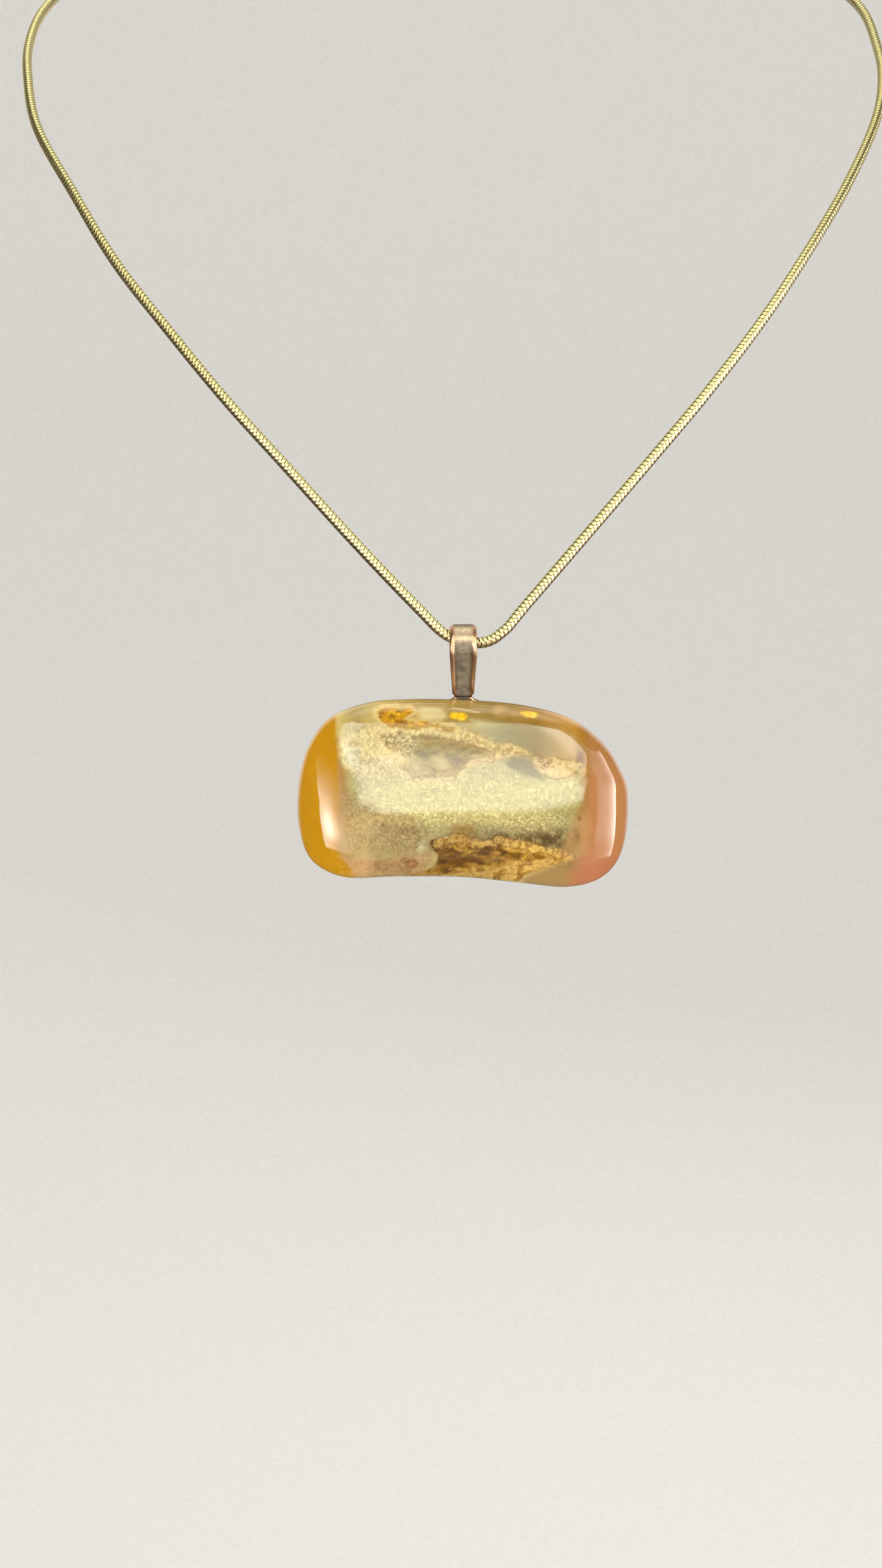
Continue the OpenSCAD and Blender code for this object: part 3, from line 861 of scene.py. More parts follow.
def gradient(at, stops, *colours):
    """Screen colours along a scale, as linear light for each place."""
    table = np.array([lin(*rgb) for rgb in colours])
    return np.stack([np.interp(at, stops, table[:, k]) for k in range(3)], 1)


def uneven(colours, noise, amount):
    return colours * (1 + amount * noise[:, None])


def lay_ground(g):
    """Streaky brown beside the amber, then mottled tan."""
    g.lay((184, 160, 110), smooth(-10.5, -14.0, g.x) * 0.8)
    g.lay((172, 132, 74), smooth(-15.2, -16.6, g.x - 0.09 * np.maximum(4 - g.z, 0)) * 0.9)
    g.lay((146, 112, 68), smooth(0.05, 0.5, g.mottle) * smooth(-6, -12, g.x) * smooth(2, -3, g.z) * 0.3)


def lay_field(g):
    """The pale crackled field across the middle, with a paler band painted where the window's reflection lies
    over it.
    """
    field = smooth(-1.6, 1.0, g.inside([
        (-13.45, 4.11), (-8, 3.45), (-3.38, 1.8), (0.58, 3.12), (5.2, 4.77), (10.15, 2.46), (17.58, 3.78),
        (17.74, -2.16), (15.59, -6.12), (7.18, -6.12), (-1.4, -4.8), (-8, -6.45), (-12.95, -3.48),
        (-14.93, 0.81)]))
    g.lay((226, 219, 158), field * 0.9)
    g.crack = np.maximum(g.crack, field)
    # Painted reflection: the window's pale reflection band is laid into the colours. glass_albedo subtracts an
    # estimate of it again.
    glow = polygon(g.wx, g.z + 0.15 * g.noise(3, 2, 41), [
        (-14.6, 1.8), (17.74, 3.45), (17.58, -1.5), (14.44, -6.12), (-1.4, -4.8), (-11.3, -3.48)])
    g.lay((230, 224, 160), smooth(-2.0, 1.2, glow) * 0.9)
    heart = g.inside([(-4.04, 1.14), (1.9, 2.13), (6.19, 4.11), (8.83, 1.8), (15.1, 1.8), (13.45, -0.84),
                      (-1.4, -1.5)])
    g.lay((234, 228, 164), smooth(-1.0, 1.5, heart) * 0.5)


def lay_low_crackle(g):
    """Olive-grey crackle under the field, darker downwards and to the right."""
    x, z = g.x, g.z
    low = smooth(-1.2, 1.2, g.inside([
        (-11.3, -3.48), (-1.4, -2.98), (8.5, -2.49), (16.42, -1.17), (16.09, -4.8), (14.77, -9.42),
        (11.14, -9.09), (3.88, -8.1), (-3.38, -7.77), (-10.31, -8.1)]))
    speckle = g.noise(0.8, 3, 23)
    g.lay((190, 174, 120), low * 0.6)
    g.lay((150, 128, 80), smooth(-3.8, -7.0, z + 0.5 * g.mottle) * smooth(-5, 5, x) * low * 0.85)
    g.lay((108, 84, 46), low * smooth(0, 8, x) * smooth(-3.4, -6.5, z) * smooth(-0.35, 0.3, speckle) * 0.85)
    shade = smooth(1.3, 0.0, np.abs(z + 6.4 - 0.02 * x)) * smooth(2.5, 5, x) * smooth(14.5, 11, x)
    g.lay((104, 80, 42), shade * smooth(-0.45, 0.2, speckle) * 0.75)
    g.crack = np.maximum(g.crack, low * (0.8 + 0.2 * smooth(0, 9, x)))
    # Mottled brown to the left.
    brown = smooth(-1.0, 1.0, g.inside([(-16.25, -0.51), (-10.64, -2.16), (-6.02, -3.48), (-4.04, -7.77),
                                        (-15.92, -8.1)]))
    g.lay((186, 160, 110), brown * 0.8)
    g.lay((156, 126, 80), brown * smooth(0.0, 0.45, g.noise(1.0, 4, 25)) * 0.5)
    g.crack = np.maximum(g.crack, brown * 0.45)
    g.lacy.append(brown * 0.5)


def lay_upper_left(g):
    """Creamy lace, with two sugary spots."""
    cream = smooth(-0.8, 0.8, g.inside([
        (-16.58, 9.22), (-10.64, 9.55), (-6.02, 8.73), (-6.02, 6.42), (-8, 3.45), (-10.64, 1.8),
        (-14.6, 2.46), (-16.41, 5.1)]))
    g.lay((224, 206, 142), cream * 0.75)
    g.lay((242, 226, 168), cream * smooth(0.0, 0.4, g.noise(1.1, 4, 51)) * 0.8)
    g.lay((196, 170, 110), cream * smooth(0.1, 0.45, g.noise(0.9, 4, 55)) * 0.6)
    crumbs = smooth(-0.2, 0.3, g.grain)
    g.lay((240, 238, 205), smooth(-0.3, 0.5, g.blob(-14.86, 5.1, 1.35, 1.6)) * (0.55 + 0.45 * crumbs))
    g.lay((226, 218, 172), smooth(-0.35, 0.4, g.blob(-5.29, -7.9, 0.75, 1.5, 12)) * (0.5 + 0.4 * crumbs))
    g.lacy.append(cream)
    return cream


def lay_rim_and_clear_pools(g):
    """Clear glass over the top rim, and the clear pools in the upper right."""
    rim = gradient(g.x, [-18, -12, -4, 4, 10, 16, 21], (204, 186, 116), (190, 168, 104), (160, 132, 70),
                   (146, 122, 66), (158, 122, 62), (206, 160, 98), (196, 140, 86))
    g.lay_each(uneven(rim, g.mottle, 0.10), smooth(9.0, 10.2, g.z + 0.009 * (g.x + 2) ** 2))
    clear = smooth(-0.5, 0.5, polygon(g.x + 0.3 * g.wander_x, g.z, [
        (0.91, 10.05), (6.85, 9.39), (12.79, 8.89), (15.59, 7.41), (16.59, 4.11), (13.45, 3.95),
        (9.82, 5.1), (5.2, 6.42), (3.22, 7.41)]))
    tone = gradient(g.x, [2, 6, 10, 14, 17], (196, 186, 138), (176, 168, 124), (178, 160, 114),
                    (196, 168, 118), (202, 170, 118))
    g.lay_each(uneven(tone, g.mottle, 0.05), clear)
    g.clear(clear)
    dark = smooth(-0.5, 0.5, g.inside([(5.7, 4.51), (7.18, 5.1), (9.49, 4.44), (11.47, 1.96), (8.83, 2.13),
                                       (6.52, 3.45)]))
    g.lay((150, 142, 100), dark * 0.9)
    g.clear(dark * 0.8)


def lay_grey_pool(g, cream):
    """The grey pool in the upper middle, with its layers, ripples and lacy shore."""
    z, mottle = g.z, g.mottle
    depth = g.inside([
        (-11.46, 7.9), (-8.66, 8.3), (-6.02, 7.81), (-3.38, 7.67), (1.24, 6.75), (4.28, 5.89), (3.95, 5.1),
        (0.91, 4.51), (-0.9, 2.72), (-3.88, 2.06), (-6.68, 2.33), (-8.26, 3.71), (-8, 5.1), (-10.31, 6.16)])
    pool = smooth(-0.25, 0.35, depth)
    g.lay_each(gradient(depth + 0.35 * mottle, [0, 0.5, 1.2, 2.4], (176, 142, 78), (190, 166, 100),
                        (176, 160, 106), (168, 155, 106)), pool)
    sand = smooth(6.6, 4.0, z) * smooth(0.7, 0.2, np.abs(mottle))
    g.lay((204, 182, 118), pool * sand * 0.8)
    g.lay((152, 124, 70), pool * smooth(0.12, 0.4, g.noise(0.8, 4, 27)) * smooth(7.2, 5.2, z) * 0.6)
    g.clear(pool)
    drift = fbm(g.x * 0.42 + 0.3 * z, z * 1.15, 0.8, 4, 29)
    g.lay((142, 128, 84), pool * smooth(0.05, 0.3, drift) * 0.6)
    g.lay((216, 200, 142), pool * smooth(0.1, 0.35, -drift) * smooth(7.5, 5.5, z) * 0.6)
    ripple = pool * smooth(0.5, 1.0, np.cos(depth * 8 + 3 * mottle)) * smooth(1.9, 0.2, depth)
    g.lay((140, 106, 52), ripple * 0.6)
    shore = smooth(0.28, 0.05, np.abs(depth + 0.10 * g.grain)) * smooth(-11, -3, g.x)
    g.lay((168, 128, 62), shore * 0.7)
    halo = smooth(0.75, 0.15, np.abs(depth + 0.55 + 0.2 * mottle))
    g.lay((236, 216, 150), halo * 0.6)
    # Filigree: fine pale and tan veins over the upper left and round the pool.
    round_pool = smooth(-2.6, -0.2, depth) * smooth(0.4, -0.2, depth)
    veined = np.maximum(cream, round_pool) * smooth(8.5, 7.5, z)
    g.lay((246, 234, 176), smooth(0.10, 0.02, np.abs(g.noise(1.3, 4, 111))) * veined * 0.75)
    g.lay((186, 150, 84), smooth(0.07, 0.01, np.abs(fbm(g.x + 7, z - 3, 0.9, 3, 117))) * veined * 0.6)
    g.lacy += [halo, veined]


def lay_cream_lace(g):
    """Cream lace across, from the gold patch past the pool's tip to the right."""
    line = g.along([(-6.52, 9.13), (-3.38, 8.56), (-0.41, 8), (1.9, 7.24), (3.88, 6.35)])
    patch = g.inside([
        (0.25, 8.83), (1.9, 8.14), (3.55, 7.31), (4.38, 6.75), (5.46, 6.88), (6.59, 6.62), (7.94, 6.19),
        (9.19, 5.53), (8.9, 5.1), (7.68, 5.17), (5.46, 4.84), (4.11, 4.41), (2.73, 4.04), (1.08, 3.95),
        (2.16, 4.7), (3.81, 5.23), (4.51, 5.79), (4.11, 6.19), (2.73, 6.75), (1.08, 7.15), (-0.31, 7.44)])
    lace = np.maximum(smooth(0.62, 0.2, line + 0.35 * g.grain), smooth(-0.12, 0.2, patch + 0.15 * g.grain))
    g.lay((234, 214, 150), lace * 0.9)
    g.lay((188, 152, 90), lace * smooth(0.05, 0.35, g.noise(0.6, 3, 61)) * 0.7)
    g.lay((176, 132, 60), smooth(0.16, 0.02, np.abs(patch)) * 0.5)
    g.lacy.append(lace)
    g.foil.append(lace * 0.8)


def lay_crust(g):
    """The big cream crust on the right, with holes and four small rings."""
    depth = g.inside([
        (9.19, 4.84), (9.72, 5.23), (11.24, 4.84), (12.36, 5.03), (13.45, 4.54), (14.27, 4.41),
        (15.36, 4.28), (16.32, 4.14), (16.82, 3.19), (16.75, 2.23), (15.36, 2.89), (14.27, 2.2),
        (13.19, 2.03), (12.06, 2.06), (11.24, 2.49), (10.41, 2.89), (9.59, 3.58)], 0.4)
    crust = smooth(-0.10, 0.15, depth + 0.42 * g.noise(0.8, 3, 73))
    crust *= 1 - 0.75 * smooth(0.16, 0.34, g.noise(0.9, 3, 77)) * smooth(0.15, 0.6, depth)
    g.lay((218, 198, 142), crust)
    g.lay((202, 170, 112), crust * smooth(0.0, 0.35, g.noise(0.45, 3, 71)) * 0.7)
    g.lay((232, 210, 150), crust * smooth(0.1, 0.4, g.noise(0.4, 3, 75)) * 0.5)
    g.lay((176, 134, 70), smooth(0.2, 0.02, np.abs(depth + 0.05)) * 0.65)
    for cx, cz in ((10.55, 4.51), (11.3, 3.91), (10.81, 3.62), (11.73, 4.28)):
        ring = np.hypot(g.x - cx, g.z - cz)
        g.lay((160, 112, 46), smooth(0.13, 0.04, np.abs(ring - 0.27)) * 0.85)
    g.clear(crust)
    g.lacy.append(crust)
    g.foil.append(crust)


def lay_gold(g):
    """The gold-brown patch at the top left, its wavy tail, and two bright spots."""
    z, grain = g.z, g.grain
    patch = g.inside([
        (-11.7, 11.14), (-10.74, 11.7), (-9.25, 11.7), (-8.69, 11.44), (-7.34, 11.57), (-7.01, 11.01),
        (-7.74, 10.61), (-8.13, 10.12), (-7.34, 9.79), (-6.35, 9.55), (-5.95, 9.06), (-6.68, 8.6),
        (-8.26, 8.73), (-9.98, 8.93), (-10.64, 9.39), (-11.17, 9.98), (-11.5, 10.54)], 0.5)
    tail = g.inside([
        (-7.18, 9.72), (-5.79, 9.65), (-4.7, 9.36), (-3.31, 9.22), (-1.66, 8.96), (-0.71, 8.63),
        (-1.66, 8.3), (-3.31, 8.6), (-4.44, 8.73), (-5.79, 8.73), (-6.81, 8.99)])
    depth = np.maximum(patch, tail)
    gold = smooth(-0.12, 0.18, depth + 0.3 * g.noise(0.6, 3, 87))
    g.lay((196, 146, 18), gold)
    upper = 0.45 + 0.45 * smooth(9.2, 9.9, z)
    g.lay((144, 100, 10), gold * smooth(-0.05, 0.35, g.noise(0.8, 4, 81)) * upper)
    g.lay((230, 190, 60), gold * smooth(0.15, 0.45, g.noise(0.6, 4, 83)) * 0.8)
    g.lay((104, 70, 10), gold * smooth(0.28, 0.5, g.noise(0.45, 3, 85)) * smooth(9.3, 9.8, z) * 0.6)
    g.lay((204, 170, 62), gold * smooth(9.5, 8.9, z) * 0.75)
    g.lay((232, 208, 140), smooth(0.35, 0.08, np.abs(depth + 0.28 + 0.25 * grain)) * 0.5)
    fold = g.along([(-9.65, 9.13), (-8, 8.93), (-6.02, 8.73), (-4.04, 8.86), (-1.73, 8.47)])
    g.lay((180, 140, 30), smooth(0.2, 0.05, fold + 0.12 * grain) * 0.5)
    near = smooth(-0.3, 0.4, ellipse(g.x, z, -4.7, 10.38, 2.8, 1.3))
    g.lay((206, 172, 104), smooth(0.15, 0.4, g.noise(0.7, 4, 89)) * near * (1 - gold) * 0.8)
    g.lay((214, 200, 150), smooth(-0.2, 0.5, g.blob(-4.37, 10.78, 2.4, 1.1, -6)) * 0.75 * (1 - gold))
    spots = np.zeros(len(z))
    for cx, cz, rx, rz in ((-0.57, 10.45, 1.15, 0.55), (8.83, 10.88, 1.2, 0.5)):
        spot = smooth(-0.12, 0.15, g.blob(cx, cz, rx, rz, -6))
        spots = np.maximum(spots, spot)
        g.lay((240, 190, 30), spot)
        g.lay((252, 222, 96), spot * smooth(0.0, 0.4, grain) * 0.6)
    smudge = smooth(-0.2, 0.5, g.blob(5.53, 10.88, 2.0, 0.9, -10))
    g.lay((190, 158, 100), smudge * smooth(-0.2, 0.4, g.mottle) * 0.6)
    g.foil += [gold, spots]
    return spots


def lay_band(g):
    """The gold-brown layered band along the bottom."""
    x, z, grain = g.x, g.z, g.grain
    depth = g.inside([
        (-4.44, -6.32), (-2.79, -6.19), (-0.31, -5.49), (1.08, -6.02), (2.73, -6.32), (4.11, -6.02),
        (4.94, -5.69), (6.59, -6.12), (8.76, -6.58), (10.55, -6.71), (11.04, -7.41), (12.06, -7.61),
        (14.27, -7.67), (14.84, -8.43), (14.14, -9.32), (12.06, -9.88), (9.72, -10.64), (7.94, -11.4),
        (7.41, -11.8), (3.81, -11.6), (1.08, -11.27), (-3.88, -11.14), (-7.18, -11.04), (-6.09, -10.58),
        (-4.14, -10.01), (-3.48, -9.19), (-3.31, -7.97), (-4.44, -7.28)], 0.6)
    band = smooth(-0.15, 0.2, depth + 0.22 * g.noise(0.6, 3, 90))
    wave = z - 0.06 * x + 0.35 * np.sin(0.9 * x + 1.2) + 0.9 * g.noise(2.4, 2, 93)
    streak = fbm((x + 0.6 * z) * 0.36 + 3, wave, 0.75, 4, 91)
    g.lay((160, 118, 38), band)
    g.lay((118, 80, 18), band * smooth(-0.14, 0.14, streak) * 0.9)
    heart = smooth(-0.3, 0.5, g.inside([
        (-3.38, -8.1), (-1.4, -7.77), (1.9, -8.1), (5.2, -7.77), (8.83, -8.1), (8.5, -9.26), (5.2, -9.59),
        (1.24, -9.82), (-3.05, -10.25), (-4.04, -9.75)]))
    g.lay((112, 76, 18), band * heart * smooth(-0.3, 0.25, g.noise(0.9, 4, 94)) * 0.8)
    g.lay((196, 158, 72), band * smooth(0.14, 0.4, -streak) * (1 - 0.6 * heart) * 0.85)
    g.lay((208, 176, 108), band * smooth(0.16, 0.4, g.noise(0.6, 4, 99)) * (1 - heart) * 0.5)
    g.lay((92, 58, 10), band * smooth(0.30, 0.5, streak + 0.2 * grain) * 0.7)
    # Lace along its top, then along its foot.
    line = g.along([(-3.38, -6.78), (-0.31, -6.12), (1.9, -6.62), (4.11, -6.62), (5.37, -6.29), (8.5, -7.04),
                    (10.48, -7.51), (13.45, -8.1), (14.64, -8.5)])
    top_lace = smooth(0.62, 0.25, line + 0.3 * grain)
    g.lay((214, 180, 100), top_lace * 0.85)
    g.lay((146, 102, 36), top_lace * smooth(0.05, 0.3, g.noise(0.45, 3, 95)) * 0.8)
    g.lay((104, 68, 20), smooth(0.13, 0.03, np.abs(line - 0.6 + 0.2 * grain)) * 0.6)
    foot_lace = smooth(-0.12, 0.2, 0.15 * grain + g.inside([
        (-6.02, -10.77), (-3.38, -10.67), (0.58, -10.28), (3.88, -9.98), (7.84, -9.42), (11.8, -8.6),
        (14.44, -8.1), (14.84, -8.5), (14.14, -9.32), (12.06, -9.88), (9.72, -10.64), (7.94, -11.4),
        (7.41, -11.86), (3.81, -11.66), (1.08, -11.27), (-3.38, -11.2)]))
    g.lay((198, 164, 92), foot_lace * 0.9)
    g.lay((140, 98, 26), foot_lace * smooth(0.0, 0.3, fbm(x * 0.45, z - 0.1 * x, 0.5, 3, 97)) * 0.85)
    # A swirl on the top lace, and three dark slits.
    swirl = np.hypot((x - 4.8) / 1.3, z + 6.22)
    curl = smooth(0.62, 0.5, swirl)
    g.lay((206, 172, 96), curl)
    g.lay((120, 80, 26), smooth(0.13, 0.04, np.abs(swirl - 0.6)) * 0.8)
    g.lay((140, 98, 36), smooth(0.1, 0.03, np.abs(swirl - 0.28)) * 0.7)
    for cx, cz, rx in ((-2.65, -9.19, 0.45), (2.73, -9.32, 0.55), (5.37, -8.1, 0.9)):
        g.lay((80, 50, 14), smooth(-0.12, 0.12, g.blob(cx, cz, rx, 0.2, 8)) * 0.8)
    g.clear(np.maximum(band, top_lace))
    g.lay((176, 130, 56), smooth(-0.8, 0.6, g.blob(0.09, -5.3, 1.6, 1.0)) * 0.7)
    g.lacy += [foot_lace, top_lace]
    g.foil += [band * 0.9, top_lace, foot_lace, curl]


def lay_clear_corners(g):
    """Pinkish glass with a ringed swirl in the lower left, olive in the lower right, tan by the rose."""
    x, z, mottle = g.x, g.z, g.mottle
    pink = smooth(-0.6, 0.5, g.inside([(-17.07, -8.6), (-11.3, -8.93), (-4.37, -7.77), (-4.04, -9.42),
                                       (-6.02, -10.91), (-11.3, -11.57), (-16.25, -11.4)]))
    g.lay((182, 142, 98), pink * 0.85)
    g.lay((150, 104, 62), pink * smooth(0.1, 0.5, mottle) * 0.7)
    g.lacy.append(pink * 0.3)
    ring = np.hypot((x + 6.94) / 1.5, z + 9.49) + 0.06 * mottle
    g.lay((172, 122, 78), smooth(0.6, 0.5, ring) * 0.9)
    g.lay((118, 70, 34), smooth(0.13, 0.04, np.abs(ring - 0.52)) * 0.8)
    g.lay((136, 84, 44), smooth(0.10, 0.03, np.abs(ring - 0.28)) * 0.6)
    olive = smooth(-0.5, 0.6, g.inside([(7.84, -11.4), (10.48, -10.25), (14.77, -8.76), (16.42, -8.1),
                                        (16.42, -12.72), (8.5, -13.05)], 0))
    g.lay((150, 118, 74), olive * 0.9)
    tan_from = np.interp(z, [-8, -3, -1.5, 4], [13.2, 15.0, 16.3, 16.8])
    tan = smooth(-0.7, 0.5, x - tan_from) * smooth(-9.5, -7.5, z)
    g.lay((176, 136, 84), tan * 0.75)
    streak = smooth(0.9, 0.3, np.abs(x - 15.6 - 0.06 * z)) * smooth(-0.15, 0.35, mottle)
    g.lay((134, 92, 46), streak * smooth(7, 5, z) * smooth(-8, -6, z) * 0.75)
    g.clear(tan)


def lay_ends(g):
    """The amber and the rose end, each meeting the middle on a soft edge."""
    x, z = g.x, g.z
    shore = -17.0 + 2.4 * smooth(-7.0, -12.0, z) - 0.2 * smooth(4, 9, z)
    amber = smooth(0.35, -0.35, x - shore + 0.12 * fbm(z * 0.4, z, 2, 2, 99))
    darker = 1 - 0.05 * smooth(-20.0, -22.0, x)
    g.lay_each(uneven(lin(180, 130, 6) * darker[:, None], g.mottle, 0.06), amber)
    rose = smooth(14.6, 17.8, x + 0.3 * g.mottle + 1.5 * smooth(-7, -11.5, z))
    low, high = smooth(-6, -10, z)[:, None], smooth(-2, 9, z)[:, None]
    side = lin(174, 120, 76) * (1 - low) + lin(176, 114, 80) * low
    g.lay_each(uneven(side * (1 - high) + lin(160, 112, 62) * high, g.mottle, 0.05), rose)
    g.crack *= (1 - amber) * (1 - rose)
    # A pale line is painted where the pad's top edge would show through the clear rim, a painted stand-in for
    # its edge seen through the glass.
    g.lay((206, 190, 140), smooth(0.16, 0.03, path_distance(x, z, [(-1.33, 11.57), (2.1, 10.97)])) * 0.8)


def glass_colours(x, z):
    """The layers' colours at places as they are seen, and how crackled, foiled and lacy the places are."""
    g = Layers(x, z)
    lay_ground(g)
    lay_field(g)
    lay_low_crackle(g)
    cream = lay_upper_left(g)
    lay_rim_and_clear_pools(g)
    lay_grey_pool(g, cream)
    lay_cream_lace(g)
    lay_crust(g)
    spots = lay_gold(g)
    lay_band(g)
    lay_clear_corners(g)
    lay_ends(g)
    lacy = np.max(g.lacy, axis=0) * (1 - spots)
    return np.clip(g.colour, 0.003, 0.98), np.clip(g.crack, 0, 1), np.max(g.foil, axis=0), np.clip(lacy, 0, 1)


# How much brighter than their own colour the layers look, and the least that the cap reflects anywhere.
LIGHT_ON_BASE = 1.75
HAZE = 0.006


def evened(x, z):
    """How much of its own colour a place keeps, to hide the studio's uneven light on the layers."""
    middle = smooth(-13.5, -11.5, x) * smooth(14.0, 11.0, x)
    under_window = 0.20 * smooth(0.5, 3.0, z) * smooth(10.5, 8.0, z) * smooth(13.5, 9.0, x)
    bottom = 0.26 * smooth(-3.6, -5.0, z) * smooth(8.0, 3.0, x)
    window_foot = 0.14 * bell(z + 2.9, 1.0)
    left_glow = 0.30 * bell(x + 14.6, 1.7) * smooth(-4.0, -1.0, z)
    right_low = 0.14 * smooth(11.0, 13.5, x) * smooth(16.5, 15.0, x)
    right_low = right_low * smooth(-1.5, -3.0, z) * smooth(-9.0, -7.0, z)
    return 1 - left_glow - right_low + middle * (window_foot - under_window - bottom)


def reflected(x, z):
    """About how much of the window's light lies over a place as it is seen, without its sharp edges."""
    left = np.interp(z, [-2.3, 1.0, 5.1, 9.5], [-13.0, -14.3, -16.0, -17.2])
    inside = smooth(-0.6, 1.4, x - left) * smooth(-1.0, 1.0, np.minimum(16.6 - x, 9.5 - z))
    inside *= smooth(-4.6, -2.0, z)
    bright = 0.06 * smooth(3.0, 0.2, z) * smooth(-4.0, -1.0, z)
    sides = 0.04 * smooth(13.0, 16.5, np.abs(x)) * smooth(1.0, 4.0, z)
    dim = 0.006 * smooth(-8.8, -7.8, z) * smooth(17.5, 15.5, np.abs(x))
    return HAZE + dim + inside * (0.085 + bright + sides)


def glass_albedo(seen, x, z):
    """The layers' own colours, from how bright they look under the studio's window."""
    bright = seen @ np.array([0.30, 0.59, 0.11])
    spare = reflected(x, z)
    share = np.maximum(bright - spare, 0.22 * bright) / bright
    richer = 1 + 0.42 * np.minimum(spare / np.maximum(bright - spare, 0.35 * bright), 0.8)
    own = np.maximum(bright[:, None] + (seen - bright[:, None]) * richer[:, None], 0.02 * bright[:, None])
    return np.clip(own * (share * evened(x, z))[:, None] / LIGHT_ON_BASE, 0.002, 0.95)


# ------------------------------------------------------------------ the glass: the base's three pieces

SEAM_STEPS = 90


def cut_outline(low, high):
    """The outline's part between two places along X, closed along the seams by finely spaced points."""
    crossed = []
    for p, q in zip(outline, np.roll(outline, -1, axis=0)):
        if low <= p[0] <= high:
            crossed.append((p[0], p[1]))
        for cut in (low, high):
            if (p[0] - cut) * (q[0] - cut) < 0:
                crossed.append((cut, p[1] + (q[1] - p[1]) * (cut - p[0]) / (q[0] - p[0])))
    loop = []
    for p, q in zip(crossed, crossed[1:] + crossed[:1]):
        loop.append(p)
        if p[0] == q[0] and p[0] in (low, high) and abs(p[1] - q[1]) > 2:
            loop += [(p[0], p[1] + (q[1] - p[1]) * t) for t in np.linspace(0, 1, SEAM_STEPS + 2)[1:-1]]
    return np.array(loop)


def toward(heart, ring, count):
    """Rings from a ring's inside to its heart, neither of them counted."""
    return [ring + (heart - ring) * t for t in np.linspace(0, 1, count + 1)[1:-1]]


def base_points(loop, cut, reach, heart, rings):
    """One piece's rings, from the back's middle round the rim to the top's middle, then both middles."""
    levels = [(1.6, 0.0), (1.05, 0.08), (0.64, 0.32), (0.3, 0.66), (0.12, 1.1), (0.03, 1.55), (0.0, EQUATOR)]
    levels += [(crown_inset(h), h) for h in (2.25, 2.42, 2.53)] + [(crown_inset(BASE_TOP) + 0.03, BASE_TOP)]
    side = []
    for inset, h in levels:
        x = cut + (loop[:, 0] - cut) * (1 - inset / reach if reach else 1)
        side.append(np.stack([x, np.full(len(loop), -h), loop[:, 1] * (1 - inset / RIM)], 1))
    top = np.array([heart[0], -BASE_TOP, heart[1]])
    back = np.array([heart[0], 0.0, heart[1]])
    stack = toward(back, side[0], 36 if rings > 40 else 14)[::-1] + side + toward(top, side[-1], rings)
    return np.vstack(stack + [top[None], back[None]]), len(stack)


def make_base(name, node, low, high, cut, reach, heart, rings):
    """One piece of the coloured base. Its rim draws in towards cut over reach, its rings towards heart."""
    loop = cut_outline(low, high)
    points, n = base_points(loop, cut, reach, heart, rings)
    cols = len(loop)
    top, back = n * cols, n * cols + 1
    faces = grid_faces(n, cols)
    faces += [((n - 1) * cols + a, (n - 1) * cols + (a + 1) % cols, top) for a in range(cols)]
    faces += [((a + 1) % cols, a, back) for a in range(cols)]
    obj = add_mesh(name, points + CAB, faces)
    face_outward(obj)
    x, h, z = points[:, 0].copy(), -points[:, 1], points[:, 2].copy()
    on_top = h > BASE_TOP - 1e-6
    x[on_top], z[on_top] = seen_places(x[on_top], z[on_top])
    colour, crack, _, lacy = glass_colours(x, z)
    set_colour(obj, "layers", glass_albedo(colour, x, z))
    set_float(obj, "crackle", crack)
    set_float(obj, "lacy", lacy)
    obj.data.set_sharp_from_angle(angle=math.radians(30))
    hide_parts(node)
    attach(obj, "pendant")
    return obj


